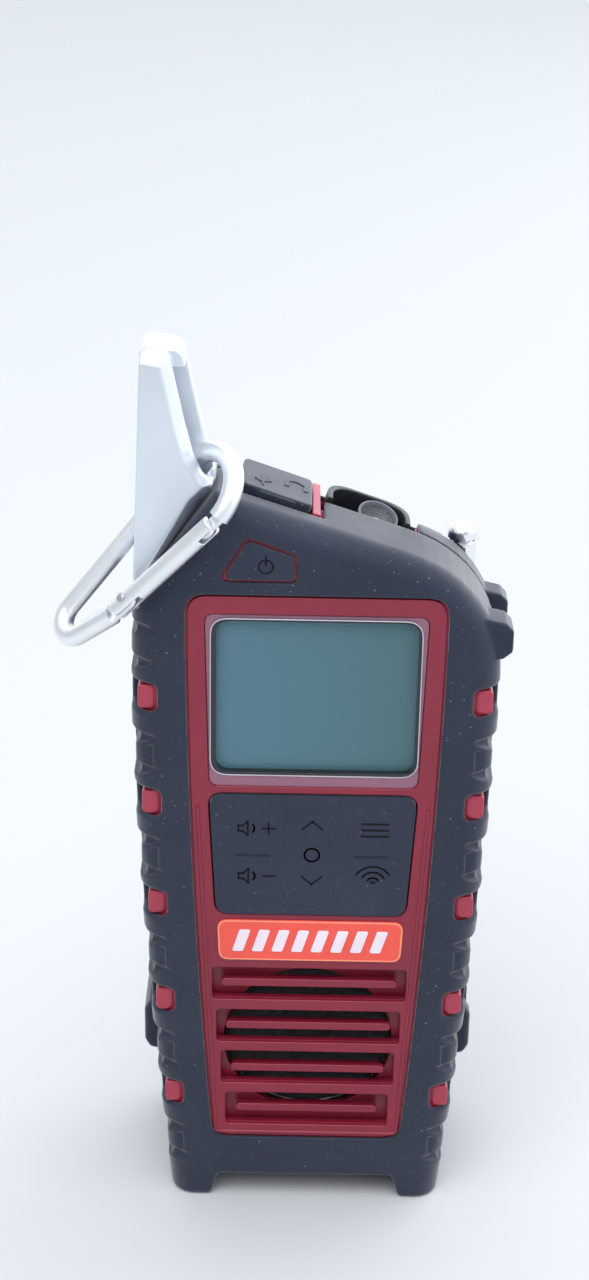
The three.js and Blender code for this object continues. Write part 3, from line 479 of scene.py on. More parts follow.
def sweep(points, radius, count=20, closed=False):
    """A bar along a smooth line of points; radius is a number or one number for each point."""
    points = [Vector(p) for p in points]
    radii = radius if isinstance(radius, list) else [radius] * len(points)
    vertices, faces = [], []
    last = len(points) - 1
    normal = None
    for i, p in enumerate(points):
        ahead = points[(i + 1) % len(points)] if closed or i < last else p
        behind = points[i - 1] if closed or i > 0 else p
        along = (ahead - behind).normalized()
        if normal is None:
            normal = along.orthogonal().normalized()
        normal = (normal - along * normal.dot(along)).normalized()
        side = along.cross(normal)
        for k in range(count):
            a = 2 * math.pi * k / count
            vertices.append(p + (normal * math.cos(a) + side * math.sin(a)) * radii[i])
    rows = len(points) if closed else last
    for i in range(rows):
        for k in range(count):
            a, b = i * count + k, i * count + (k + 1) % count
            c = ((i + 1) % len(points)) * count
            faces.append((a, b, c + (k + 1) % count, c + k))
    if not closed:
        faces.append(tuple(reversed(range(count))))
        faces.append(tuple(range(last * count, last * count + count)))
    return object_of(mesh_from(vertices, faces), 40)


def joined(objects):
    """Several objects as one."""
    mesh = bpy.data.meshes.new("joined")
    work = bmesh.new()
    for obj in objects:
        work.from_mesh(obj.data)
    work.to_mesh(mesh)
    work.free()
    for obj in objects:
        bpy.data.objects.remove(obj)
    return object_of(mesh, 32)


# ---- materials

MATERIALS = {}


def feed(tree, socket, value):
    """Links a node's output into a socket, or sets the socket's own value."""
    if hasattr(value, "links"):
        tree.links.new(value, socket)
    else:
        socket.default_value = value


class Look:
    """A procedural material, its nodes made one by one."""

    def __init__(self, name, color, roughness, metallic=0.0, **sockets):
        self.material = bpy.data.materials.new(name)
        self.material.use_nodes = True
        self.tree = self.material.node_tree
        self.shader = self.tree.nodes["Principled BSDF"]
        self.set("Base Color", (*color, 1))
        self.set("Roughness", roughness)
        self.set("Metallic", metallic)
        for socket, value in sockets.items():
            self.set(socket.replace("_", " "), value)
        self.coords = self.node("ShaderNodeTexCoord").outputs["Object"]
        self.color = color
        self.height = None
        MATERIALS[name] = self.material

    def set(self, socket, value):
        self.shader.inputs[socket].default_value = value

    def node(self, kind, **inputs):
        made = self.tree.nodes.new(kind)
        for name, value in inputs.items():
            feed(self.tree, made.inputs[name.replace("_", " ")], value)
        return made

    def noise(self, scale, detail=3.0, rough=0.55, stretch=None):
        vector = self.coords
        if stretch:
            vector = self.node("ShaderNodeMapping", Vector=vector, Scale=stretch).outputs[0]
        made = self.node("ShaderNodeTexNoise", Vector=vector, Scale=scale, Detail=detail, Roughness=rough)
        return made.outputs["Fac"]

    def ramp(self, value, low, high, start=0.0, end=1.0):
        ends = {"From_Min": low, "From_Max": high, "To_Min": start, "To_Max": end}
        return self.node("ShaderNodeMapRange", Value=value, **ends).outputs[0]

    def tint(self, factor, other, base=None):
        """Mixes the colour with another one where factor is high."""
        made = self.tree.nodes.new("ShaderNodeMix")
        made.data_type = "RGBA"
        self.tree.links.new(factor, made.inputs["Factor"])
        made.inputs["A"].default_value = (*self.color, 1)
        if base is not None:
            self.tree.links.new(base, made.inputs["A"])
        made.inputs["B"].default_value = (*other, 1)
        self.tree.links.new(made.outputs["Result"], self.shader.inputs["Base Color"])
        return made.outputs["Result"]

    def gloss(self, value):
        self.tree.links.new(value, self.shader.inputs["Roughness"])

    def bump(self, value, distance_mm, strength=1.0):
        made = self.node("ShaderNodeBump", Height=value, Strength=strength)
        made.inputs["Distance"].default_value = distance_mm * MM
        if self.height is not None:
            self.tree.links.new(self.height, made.inputs["Normal"])
        self.height = made.outputs[0]
        self.tree.links.new(self.height, self.shader.inputs["Normal"])


def rubber_look(name, color, dust=(0.16, 0.17, 0.21)):
    look = Look(name, color, 0.6, 0.0, Specular_IOR_Level=0.3, Sheen_Weight=0.45, Sheen_Roughness=0.42)
    cloud = look.ramp(look.noise(38, 4), 0.35, 0.75)
    soft = look.tint(cloud, tuple(min(1, c * 1.22 + 0.004) for c in color))
    specks = look.ramp(look.noise(1500, 1, 0.5), 0.74, 0.8)
    look.tint(specks, dust, soft)
    look.gloss(look.ramp(look.noise(90, 4), 0.3, 0.75, 0.5, 0.68))
    look.bump(look.noise(2600, 2), 0.05, 0.5)
    look.bump(look.noise(420, 3), 0.06, 0.35)
    return look


def plastic_look(name, color, rough, grain=0.02, lift=1.15, shine=0.5):
    look = Look(name, color, rough, 0.0, Specular_IOR_Level=shine)
    look.tint(look.ramp(look.noise(60, 3), 0.35, 0.7), tuple(min(1, c * lift) for c in color))
    look.gloss(look.ramp(look.noise(140, 4), 0.3, 0.75, rough * 0.85, rough * 1.2))
    look.bump(look.noise(2200, 2), grain, 0.4)
    return look


def metal_look(name, color, rough, stretch=(1, 1, 30), scratch=0.012):
    look = Look(name, color, rough, 1.0)
    brushed = look.noise(900, 2, 0.6, stretch)
    look.gloss(look.ramp(brushed, 0.3, 0.7, rough * 0.75, rough * 1.35))
    look.tint(look.ramp(look.noise(45, 3), 0.4, 0.75), tuple(c * 0.9 for c in color))
    look.bump(brushed, scratch, 0.25)
    return look


rubber_look("rubber_jacket", (0.013, 0.018, 0.038))
rubber_look("rubber_keys", (0.014, 0.020, 0.041))
plastic_look("red_case", (0.33, 0.028, 0.058), 0.36)
plastic_look("red_panel", (0.205, 0.009, 0.028), 0.34)
plastic_look("black_plastic", (0.010, 0.011, 0.015), 0.4)
plastic_look("gloss_black", (0.012, 0.013, 0.018), 0.1, 0.002)
plastic_look("charcoal", (0.022, 0.024, 0.032), 0.5, 0.04)
plastic_look("white_plastic", (0.75, 0.77, 0.8), 0.45)
plastic_look("badge_red", (0.76, 0.080, 0.055), 0.32)
plastic_look("badge_edge", (0.85, 0.26, 0.16), 0.32)
plastic_look("badge_white", (0.76, 0.66, 0.74), 0.35)
plastic_look("legend", (0.006, 0.007, 0.012), 0.8, shine=0.2)
plastic_look("gear_nylon", (0.7, 0.66, 0.55), 0.5)
plastic_look("battery_wrap", (0.03, 0.12, 0.36), 0.35)
plastic_look("ferrite_grey", (0.05, 0.05, 0.055), 0.7, 0.06)
plastic_look("torch_grey", (0.12, 0.13, 0.15), 0.35)
# painted highlight: a pale grey for the clear lens's edge, standing for the light line along it
plastic_look("lens_edge_highlight", (0.5, 0.5, 0.56), 0.2)
metal_look("bracket_silver", (0.76, 0.81, 0.87), 0.45, (1, 1, 12))
metal_look("carabiner_silver", (0.88, 0.90, 0.93), 0.4, (6, 6, 6))
metal_look("chrome", (0.86, 0.87, 0.89), 0.07, (1, 1, 40), 0.004)
metal_look("steel", (0.55, 0.56, 0.58), 0.3, (8, 8, 1))
metal_look("brass", (0.72, 0.52, 0.2), 0.28, (8, 8, 1))

cone = Look("cone_paper", (0.012, 0.012, 0.014), 0.85)
cone.bump(cone.noise(1400, 3), 0.2, 0.8)
cone.tint(cone.ramp(cone.noise(500, 3), 0.4, 0.7), (0.03, 0.03, 0.034))

board = Look("board_green", (0.02, 0.12, 0.05), 0.4)
tracks = board.node("ShaderNodeTexBrick", Vector=board.coords, Scale=260.0).outputs["Fac"]
board.tint(tracks, (0.05, 0.2, 0.08))
board.bump(tracks, 0.05, 0.5)

screen = Look("display_grey", (0.13, 0.30, 0.40), 0.22)
# painted shade: the screen's colour darkens from its left side to its right, for the light falling across it
painted_shade_across = screen.node("ShaderNodeSeparateXYZ", Vector=screen.coords).outputs["X"]
screen.tint(screen.ramp(painted_shade_across, -0.03, 0.035), (0.085, 0.21, 0.24))
screen.gloss(screen.ramp(screen.noise(50, 2), 0.3, 0.7, 0.2, 0.26))

pane_look = Look("clear_pane", (0.02, 0.03, 0.035), 0.06, Alpha=0.12)
pane_look.gloss(pane_look.ramp(pane_look.noise(70, 3), 0.35, 0.75, 0.04, 0.1))
frost = Look("frosted_lens", (0.60, 0.34, 0.48), 0.28, Alpha=0.24)
frost.gloss(frost.ramp(frost.noise(240, 4), 0.35, 0.75, 0.2, 0.42))
frost.bump(frost.noise(1500, 2), 0.01, 0.4)

cell = Look("solar_glass", (0.006, 0.009, 0.024), 0.08, 0.0, Coat_Weight=1.0, Coat_Roughness=0.03)
lines = cell.node("ShaderNodeTexBrick", Vector=cell.coords, Scale=55.0)
lines.inputs["Mortar Size"].default_value = 0.012
cell.tint(lines.outputs["Fac"], (0.35, 0.36, 0.38))

wafer = Look("solar_cell", (0.010, 0.016, 0.05), 0.22, 0.0, Coat_Weight=0.8, Coat_Roughness=0.05)
fingers = wafer.node("ShaderNodeTexWave", Vector=wafer.coords, Scale=420.0)
fingers.bands_direction = "Z"
wafer.tint(wafer.ramp(fingers.outputs["Fac"], 0.9, 0.97), (0.3, 0.31, 0.33))
wafer.bump(wafer.noise(300, 2), 0.01, 0.2)

ground = Look("studio_floor", (0.520, 0.530, 0.545), 0.95, 0.0, Specular_IOR_Level=0.1)
ground.tint(ground.ramp(ground.noise(0.7, 2), 0.3, 0.7), (0.530, 0.540, 0.555))

# ---- rubber jacket


HANDS = (-1, 1)
SIDE_ROWS = [(hand, z) for hand in HANDS for z in WINDOW_Z]
FAR = 60  # past the body on every side


def across(hand, a, b):
    """The x of a and b on one side, lower first."""
    return sorted((hand * a, hand * b))


def body_field(grid, inset_by, bottom, y0, y1, edge):
    flat = grid.outline(body_outline(bottom - inset_by)) + inset_by
    return grid.extrude(flat, y0, y1, edge)


def jacket_inside(grid):
    """The space in the rubber that the case fills."""
    edge = EDGE_ROUND - 1.2
    return body_field(grid, RUBBER, CASE_BOTTOM_Z - GAP, RUBBER_FACE, DEPTH - RUBBER_FACE, edge)


def cut_feet(grid, f):
    """Cuts the arch between the feet, and the feet level with the ground."""
    f = cut_from(f, 1.0, grid.prism(rounded(tapered(24, -3, 21.4, ARCH_Z), 1.5), -9, FAR))
    return cut_from(f, 1.2, grid.z)


def window_outline(hand, z):
    ends = across(hand, half_width_at(z) - 5.9, FAR)
    return rounded_box(ends[0], z - 3.5, ends[1], z + 3.5, 2.0)


def notch_rows(hand):
    rows = [z - drop for z in WINDOW_Z for drop in (10.2, 18.3)]
    if hand < 0:
        rows += [WINDOW_Z[0] + 8.3, WINDOW_Z[0] + 16.7]
    return [z for z in rows if z > 9]


def notch_fields(grid):
    for hand in HANDS:
        for z in notch_rows(hand):
            edge = half_width_at(z)
            inner = (hand * (edge - 5.4), -0.5, z + 0.6)
            outer = (hand * (edge + 0.2), 2.6, z - 0.5)
            yield grid.taper(inner, outer, 0.45, 2.0)
            yield grid.taper(outer, (hand * (edge + 0.6), 13, z - 0.5), 2.0, 1.9)


def grip_notches(grid):
    """Tapered grooves in the sides between the openings, as one field."""
    return reduce(np.minimum, notch_fields(grid))


def flat_fields(grid):
    for hand, z in SIDE_ROWS:
        z = z - 14.3
        for reach, depth in ((4.6, 0.7), (0.5, 14)):
            ends = across(hand, half_width_at(z) - reach, FAR)
            yield grid.box((ends[0], -5, z - 2.5), (ends[1], depth, z + 2.5))


def flats(grid):
    """The shallow flats pressed in between each pair of grooves."""
    return reduce(np.minimum, flat_fields(grid))


def shoulder_grip(grid, y0, y1, lift):
    low = [(35, 145.8 + lift), (41.6, 146.8 + lift), (43.7, 148.6 + lift)]
    high = [(43.7, 153.6 + lift), (42, 155.4 + lift), (35, 157 + lift)]
    return grid.prism(rounded(low + high, 0.9), y0, y1, 0.6)


def make_front_jacket():
    grid = Field((-43, -0.9, -0.9), (45, SEAM_Y + 0.9, 186), FINE)
    f = body_field(grid, 0, -5, 0, DEPTH, EDGE_ROUND)
    f = soft_min(f, shoulder_grip(grid, 2.6, 10.6, 0), 0.4)
    notches = grip_notches(grid)
    f = cut_from(f, 0.3, np.maximum(jacket_inside(grid), LINER - notches))
    f = cut_feet(grid, f)
    f = cut_from(f, 0.7, grid.prism(panel_outline(GAP), -3, 4))
    f = cut_from(f, 0.9, grid.prism(rounded(POWER, 1.6), -3, 4))
    f = cut_from(f, 0.8, grid.box((-17.6, 9.6, 150), (1.2, FAR, 230)))
    for hand, z in SIDE_ROWS:
        f = cut_from(f, 1.0, grid.prism(window_outline(hand, z), -2, 9, 0.6))
    f = cut_from(f, 0.4, notches)
    f = cut_from(f, 0.5, flats(grid))
    return shell(grid, cut_from(f, 0.6, SEAM_Y - grid.y))


keep("jacket_front", make_front_jacket(), "rubber_jacket", "front_bumper")


def antenna_notch(grid):
    """The recess down the right of the back where the folded antenna lies."""
    return np.minimum(grid.box((28.8, 27.3, 44), (70, 70, 230)), grid.box((28.8, 27.3, 29), (70, 35.1, 45)))


def make_rear_jacket():
    y0 = SEAM_Y + GAP
    grid = Field((-43, y0 - 0.9, -0.9), (45, DEPTH + 0.9, 186), FINE)
    f = body_field(grid, 0, -5, 0, DEPTH, EDGE_ROUND)
    f = soft_max(f, grid.lean(0), 3.0)
    f = soft_min(f, shoulder_grip(grid, 19, 27, -0.6), 0.4)
    knob = [(34, 27), (39.4, 27.5), (40.7, 30), (40.7, 39), (38.4, 43), (34, 44.5)]
    for points in (mirrored(knob), knob):
        f = soft_min(f, grid.prism(rounded(points, 2), SEAM_Y + 2.3, 39, 1.3), 1.2)
    notch = antenna_notch(grid)
    inner = np.maximum(jacket_inside(grid), grid.lean(RUBBER))
    f = cut_from(f, 0.3, np.maximum(inner, LINER - notch))
    f = cut_feet(grid, f)
    f = cut_from(f, 0.8, notch, grid.box((-17.6, -10, 150), (22.6, 33, 230)))
    f = cut_from(f, 1.0, grid.prism(back_outline(0), DEPTH - 4, DEPTH + 9))
    for z in WINDOW_Z:
        z = z - 13.3
        edge = half_width_at(z)
        f = cut_from(f, 1.0, grid.taper((-edge - 1.4, 24, z), (-edge - 1.2, 40, z), 1.9, 1.9))
    return shell(grid, cut_from(f, 0.6, grid.y - y0))


def back_outline(grow):
    points = inset(body_outline(2.5), 9.5 - grow)
    points = [(min(x, 25.5 + grow), min(z, top_at(x) - 23.5 + grow)) for x, z in points]
    clean = [p for i, p in enumerate(points) if (Vector(p) - Vector(points[i - 1])).length > 0.6]
    return rounded(clean, 3)


keep("jacket_rear", make_rear_jacket(), "rubber_jacket", "rear_bumper")

# ---- red case


JACK_HOLE = ((-13.4, 22.3, 160), (-13.4, 22.3, 200), 2.9, 2.9)  # over the headphone socket, as a taper


def make_front_case():
    grid = Field((-41, 1.2, 7.2), (41, CASE_SEAM_Y + 1, 183), COARSE)
    f = body_field(grid, RUBBER + GAP, CASE_BOTTOM_Z, RUBBER_FACE + GAP, DEPTH - 1.5, 4.4)
    f = cut_from(f, 0.3, grip_notches(grid) - LINER - GAP)
    for hand, z in SIDE_ROWS:
        ends = across(hand, half_width_at(z) - 5.2, half_width_at(z) - 1.5)
        pad = rounded_box(ends[0], z - 2.9, ends[1], z + 2.9, 1.1)
        f = soft_min(f, grid.prism(pad, 0.75, 8.6, 0.7), 0.3)
    holes = (
        body_field(grid, RUBBER + GAP + WALL, CASE_BOTTOM_Z + WALL, 3.2, DEPTH - 3, 3),
        grid.prism(panel_outline(-1.2), -3, 6),
        grid.prism(rounded(inset(POWER, 0.7), 1.4), -3, 9),
        grid.box((-15.9, 12.3, 165), (-2.3, 18.7, 230)),
        grid.taper(*JACK_HOLE),
        grid.box((-0.4, SEAM_Y - 0.3, 160), (22, FAR, 230)),
        CASE_SEAM_Y - grid.y,
    )
    return shell(grid, cut_from(f, 0.3, *holes))


keep("case_front", make_front_case(), "red_case", "front_case")


LOUVRE_HOLES = [rounded_box(-half, bottom, half, top, 1.0, 3) for top, bottom, half, _, _ in LOUVRES]
inner_holes = [rounded(pad_corners(GAP), 3.4)] + LOUVRE_HOLES
upper = plate([panel_outline(-0.1), lens_outline(0.15)] + inner_holes, PANEL_Y, 1.75, 0.3)
display_hole = rounded_box(-23.1, 118.2, 23.1, 156.3, 3.8)
lower = plate([panel_outline(-0.8), display_hole] + inner_holes, 1.6, 3.3, 0.1)
keep("panel_front", joined([upper, lower]), "red_panel")


def at_depth(y, points):
    return [(x, y, z) for x, z in points]


bead_side = [(22.0 + 4.4 * t, 19.6 + t * 90) for t in (i / 12 for i in range(13))]
bead_corner = [(21.0, 18.95), (21.7, 19.2)]
bead = mirrored(bead_side) + mirrored(bead_corner) + [(x, 18.9) for x in (-19.6, -10, 0, 10, 19.6)]
keep("panel_bead", sweep(at_depth(0.66, bead + bead_corner + bead_side), 0.5, 14), "red_panel")

BAFFLE_Y = 3.9
baffle_rim = rounded(tapered(21.5, 18, 26.5, 68.5), 3)
baffle = plate([baffle_rim, circle(0, SPEAKER_Z, 20.2, 72)], BAFFLE_Y, BAFFLE_Y + 1.6, 0.25)
keep("grille_baffle", baffle, "red_panel")
bars = []
for _, _, _, bar, bar_z in LOUVRES:
    bars.append(plate([rounded_box(-bar, bar_z - 1.05, bar, bar_z + 1.05, 1.0, 5)], 1.1, 2.7, 0.3))
    stem = rounded_box(-bar + 0.8, bar_z - 0.4, bar - 0.8, bar_z + 0.4, 0.3)
    bars.append(plate([stem], 2.5, BAFFLE_Y + 0.5, 0.1))
keep("grille_bars", joined(bars), "red_panel")

# ---- display

flange = plate([lens_outline(0), DISPLAY], PANEL_Y, PANEL_Y + 1.05, 0.22)
keep("display_flange", flange, "frosted_lens", "display_lens")
pane = plate([rounded_box(-22.7, 118.6, 22.7, 155.9, 3.4)], PANEL_Y + 0.05, PANEL_Y + 0.6, 0.1)
keep("display_pane", pane, "clear_pane")
lip_rims = [rounded_box(-23.3, 118.0, 23.3, 156.5, 3.9), rounded_box(-22.2, 118.6, 22.7, 156.1, 3.2)]
lip = plate(lip_rims, PANEL_Y - 0.12, 2.4, 0.12, steps=4)
keep("display_lip", lip, "gloss_black")
# A thin pale bead round the display's lens: a painted highlight along the lens's edge
highlight_line = at_depth(PANEL_Y - 0.06, rounded_box(-23.45, 117.85, 23.45, 156.65, 4.0, 8))
keep("display_edge_highlight", sweep(highlight_line, 0.12, 10, closed=True), "lens_edge_highlight")
display_face = plate([rounded_box(-23.2, 118.1, 23.2, 156.4, 3.4)], 2.5, 4.2, 0.1)
keep("display_face", display_face, "display_grey", "display_panel")

# ---- badge

badge_rim = rounded(tapered(21.4, 68.7, 21.8, 79.6), 2.4)
badge = plate([badge_rim], PANEL_Y - 0.45, PANEL_Y + 0.3, 0.15)
keep("badge", badge, "badge_red", "badge_plate")
border_out = rounded(tapered(21.3, 68.8, 21.7, 79.5), 2.3)
border_in = rounded(tapered(20.95, 69.15, 21.35, 79.15), 2.0)
border = plate([border_out, list(reversed(border_in))], PANEL_Y - 0.5, PANEL_Y - 0.4, 0.02)
keep("badge_border", border, "badge_edge")
marks = []
for i in range(8):
    x = -18.3 + i * 4.6
    slanted = [(x, 71.2), (x + 2.6, 71.2), (x + 4.4, 77.1), (x + 1.8, 77.1)]
    marks.append(plate([rounded(slanted, 0.5)], PANEL_Y - 0.6, PANEL_Y - 0.4, 0.06))
keep("badge_marks", joined(marks), "badge_white")

# ---- keys

KEY_Y = 0.15
SEAM = 0.02  # half the gap between two keys
CELLS = {
    "key_volume_up": (-30, 97.05 + SEAM, -6.3 - SEAM, 120),
    "key_volume_down": (-30, 70, -6.3 - SEAM, 97.05 - SEAM),
    "key_menu": (6.3 + SEAM, 97.05 + SEAM, 30, 120),
    "key_auto_tune": (6.3 + SEAM, 70, 30, 97.05 - SEAM),
    "key_scroll_up": (-6.3 + SEAM, 100.25 + SEAM, 6.3 - SEAM, 120),
    "key_select": (-6.3 + SEAM, 92.45 + SEAM, 6.3 - SEAM, 100.25 - SEAM),
    "key_scroll_down": (-6.3 + SEAM, 70, 6.3 - SEAM, 92.45 - SEAM),
}


def clip_outline(points, x0, z0, x1, z1):
    """The part of a convex outline inside a box."""
    for axis, bound, keep_above in ((0, x0, True), (0, x1, False), (1, z0, True), (1, z1, False)):
        out = []
        for a, b in zip(points, points[1:] + points[:1]):
            a_in = (a[axis] >= bound) == keep_above
            b_in = (b[axis] >= bound) == keep_above
            if a_in:
                out.append(a)
            if a_in != b_in:
                t = (bound - a[axis]) / (b[axis] - a[axis])
                out.append((a[0] + (b[0] - a[0]) * t, a[1] + (b[1] - a[1]) * t))
        points = out
    return points


pad = rounded(pad_corners(0), 3.2, 6)
LEGEND_Y = (KEY_Y - 0.06, KEY_Y + 0.3)


def line_boxes(points, width):
    """The outline of a thin bar along each stretch of a line."""
    for (ax, az), (bx, bz) in zip(points, points[1:]):
        along = Vector((bx - ax, bz - az)).normalized() * width / 2
        side = Vector((-along.y, along.x))
        a, b = Vector((ax, az)) - along, Vector((bx, bz)) + along
        yield [tuple(a - side), tuple(b - side), tuple(b + side), tuple(a + side)]


def strokes(*lines, width=0.42):
    """The thin lines of a legend, drawn in x and z."""
    boxes = [box for points in lines for box in line_boxes(points, width)]
    return [plate([box], *LEGEND_Y, 0.02) for box in boxes]


def arc(x, z, radius, start, end, count=10):
    angles = [math.radians(start + (end - start) * i / count) for i in range(count + 1)]
    return [(x + radius * math.cos(a), z + radius * math.sin(a)) for a in angles]


def speaker_mark(x, z):
    cone_line = [(x - 2.2, z - 0.7), (x - 1.2, z - 0.7), (x, z - 1.8), (x, z + 1.8), (x - 1.2, z + 0.7)]
    cone_line += [(x - 2.2, z + 0.7), (x - 2.2, z - 0.7)]
    return strokes(cone_line, arc(x, z, 1.5, -42, 42))


LEGENDS = {
    "key_volume_up": speaker_mark(-14.8, 104.2)
    + strokes([(-11.4, 104.2), (-8.6, 104.2)], [(-10, 102.8), (-10, 105.6)]),
    "key_volume_down": speaker_mark(-14.6, 91.6) + strokes([(-11.2, 91.6), (-8.4, 91.6)]),
    "key_menu": strokes(*([(11.4, z), (17.4, z)] for z in (102.6, 104.2, 105.8)), width=0.5),
    "key_auto_tune": strokes(*(arc(14.2, 90.2, radius, 30, 150) for radius in (1.4, 2.9, 4.4)))
    + strokes([(13.9, 90.4), (14.5, 90.4)], width=0.6),
    "key_scroll_up": strokes([(-2.3, 104.2), (0, 106.2), (2.3, 104.2)], width=0.45),
    "key_select": strokes(arc(0, 97.4, 1.7, 0, 360, 28)),
    "key_scroll_down": strokes([(-2.3, 91.6), (0, 89.6), (2.3, 91.6)], width=0.45),
}

GROOVE = (9.5, 17.4, 0.36)  # between the side keys: nearest and furthest x, and depth into each key


def grooved(face, z, hand, into):
    """The key's outline with half of the short groove cut into its edge at z."""
    out = []
    for a, b in zip(face, face[1:] + face[:1]):
        out.append(a)
        if abs(a[1] - z) < 0.01 and abs(b[1] - z) < 0.01 and abs(a[0] - b[0]) > 5:
            near, far, deep = GROOVE
            xs = sorted((hand * near, hand * far), key=lambda x: abs(x - a[0]))
            step = 0.15 if xs[1] > xs[0] else -0.15
            out += [(xs[0], z), (xs[0] + step, z + into * deep), (xs[1] - step, z + into * deep), (xs[1], z)]
    return out


for name, cell in CELLS.items():
    face = clip_outline(pad, *cell)
    face = [p for i, p in enumerate(face) if (Vector(p) - Vector(face[i - 1])).length > 0.02]
    key_parts = [plate([face], KEY_Y + 0.25, 3.2, 0.01)]
    if "volume" in name or "menu" in name or "tune" in name:
        upper_key = cell[1] > 90
        edge_z = cell[1] if upper_key else cell[3]
        face = grooved(face, edge_z, -1 if cell[0] < 0 else 1, 1 if upper_key else -1)
    key_parts.append(plate([face], KEY_Y, KEY_Y + 0.35, 0.01))
    keep(name + "_cap", joined(key_parts), "rubber_keys", name, body=name)
    keep(name + "_legend", joined(LEGENDS[name]), "legend", body=name)

RIDGE_R, RIDGE_LOW, RIDGE_HIGH = 6.1, 83.2, 109.3  # the ridge round the three middle keys
for name, centre_z, turn_from in (
    ("key_scroll_up", RIDGE_HIGH - RIDGE_R, 0),
    ("key_scroll_down", RIDGE_LOW + RIDGE_R, 180),
):
    bend = arc(0, centre_z, RIDGE_R, turn_from, turn_from + 180, 28)
    edge_z = CELLS[name][3] - 0.1 if turn_from else CELLS[name][1] + 0.1
    line = [(bend[0][0], edge_z)] + bend + [(bend[-1][0], edge_z)]
    keep(name + "_ridge", sweep(at_depth(KEY_Y, line), 0.13, 10), "rubber_keys", body=name)
_, low, _, high = CELLS["key_select"]
ridges = []
for x in (-RIDGE_R, RIDGE_R):
    ridges.append(sweep([(x, KEY_Y, low + 0.1), (x, KEY_Y, high - 0.1)], 0.13, 10))
keep("key_select_ridges", joined(ridges), "rubber_keys", body="key_select")

power_rim = plate([rounded(inset(POWER, 0.1), 1.5), rounded(inset(POWER, 0.52), 1.3)], 0.75, 2.4, 0.12)
keep("power_rim", power_rim, "red_panel")
power_parts = [
    plate([rounded(inset(POWER, 0.6), 1.3)], -0.1, 0.85, 0.3),
    plate([rounded(inset(POWER, 1.05), 1.1)], 0.7, 2.6, 0.05),
]
ON_POWER = {"body": "power_button", "slot": "black_plastic"}
keep("power_cap", joined(power_parts), "rubber_keys", "power_button", **ON_POWER)
px, pz = -11.4, 169.4
dash = [(px - 0.22, pz + 0.3), (px + 0.22, pz + 0.3), (px + 0.22, pz + 2.5), (px - 0.22, pz + 2.5)]
power_mark = [
    plate([circle(px, pz, 1.75, 40), circle(px, pz, 1.35, 40)[::-1]], -0.16, 0.2, 0.02),
    plate([dash], -0.2, 0.2, 0.02),
]
keep("power_legend", joined(power_mark), "legend", **ON_POWER)

# ---- back of the case

BACK_Y = 45.4
SOLAR = (-27, 113.6, 21, 146.4)
DOOR = (-20.5, 14.3, 20.5, 44.5)
SCREWS = [(-27.6, 110), (22, 109), (-24.6, 56), (22.4, 57)]


def grown(rect, by):
    return rect[0] - by, rect[1] - by, rect[2] + by, rect[3] + by


def rect_prism(grid, rect, radius, y0):
    """A rounded rectangle from y0 out past the back."""
    return grid.prism(rounded_box(*rect, radius), y0, FAR)


def round_prism(grid, x, z, radius, y0):
    return grid.prism(circle(x, z, radius), y0, FAR)


def make_rear_case():
    y0 = CASE_SEAM_Y + 0.2
    grid = Field((-41, y0 - 0.9, 7.2), (41, BACK_Y + 0.9, 183), COARSE)
    back = DEPTH - RUBBER_FACE - GAP
    f = body_field(grid, RUBBER + GAP, CASE_BOTTOM_Z, 1.5, back, 4.4)
    f = soft_max(f, grid.lean(RUBBER + GAP), 1.0)
    f = np.minimum(f, grid.prism(back_outline(-GAP), DEPTH - 4, BACK_Y, 0.5))
    inner = body_field(grid, RUBBER + GAP + WALL, CASE_BOTTOM_Z + WALL, 3.2, back - 1.7, 3)
    inner = np.maximum(inner, grid.lean(RUBBER + GAP + WALL))
    notch = antenna_notch(grid) - LINER - GAP
    f = cut_from(f, 0.3, np.maximum(inner, 1.5 - notch))
    f = cut_from(f, 0.4, notch)
    door_hole = (DOOR[0] - GAP, DOOR[1] - 1.2, DOOR[2] + GAP, DOOR[3] + GAP)
    bay = (DOOR[0] + 1.6, DOOR[1] + 1.8, DOOR[2] - 1.6, DOOR[3] - 1.8)
    holes = [
        rect_prism(grid, grown(SOLAR, GAP), 0.8, 43.8),
        rect_prism(grid, door_hole, 1.2, 43.6),
        rect_prism(grid, bay, 1.2, 40),
        round_prism(grid, CRANK.x, CRANK.y, 5.3, 30),
        round_prism(grid, ANTENNA.x, ANTENNA.z, 1.7, 30),
        grid.box((-0.4, 10, 160), (22, 31.6, 230)),
        grid.taper(*JACK_HOLE),
    ]
    holes += [round_prism(grid, x, z, 2.4, 38) for x, z in SCREWS]
    return shell(grid, cut_from(f, 0.3, *holes, grid.y - y0))


keep("case_rear", make_rear_case(), "red_case", "rear_case")

solar_frame = plate([rounded_box(*SOLAR, 1.0), rounded_box(*grown(SOLAR, -1.6), 0.6)], 44.1, 45.7, 0.3)
keep("solar_frame", solar_frame, "black_plastic", slot="solar_cell")
solar_glass = plate([rounded_box(*grown(SOLAR, -1.5), 0.6)], 44.2, 45.35, 0.1)
keep("solar_glass", solar_glass, "solar_glass", "solar_panel")
strips = []
for i in range(6):
    for j in range(2):
        sx, sz = SOLAR[0] + 2.6 + i * 7.2, SOLAR[1] + 2.4 + j * 14.2
        strips.append(plate([rounded_box(sx, sz, sx + 6.8, sz + 13.8, 0.3)], 45.2, 45.42, 0.05))
keep("solar_cells", joined(strips), "solar_cell")

door_parts = [plate([rounded_box(*DOOR, 1.4), circle(0, 40.4, 2.0, 32)], 44, 45.7, 0.35)]
for i in range(5):
    rib = rounded_box(-14 + i * 0.6, 19 + i * 2.4, 14 - i * 0.6, 20.1 + i * 2.4, 0.5)
    door_parts.append(plate([rib], 45.4, 45.95, 0.2))
keep("battery_door_plate", joined(door_parts), "charcoal", "battery_door", body="battery_door")


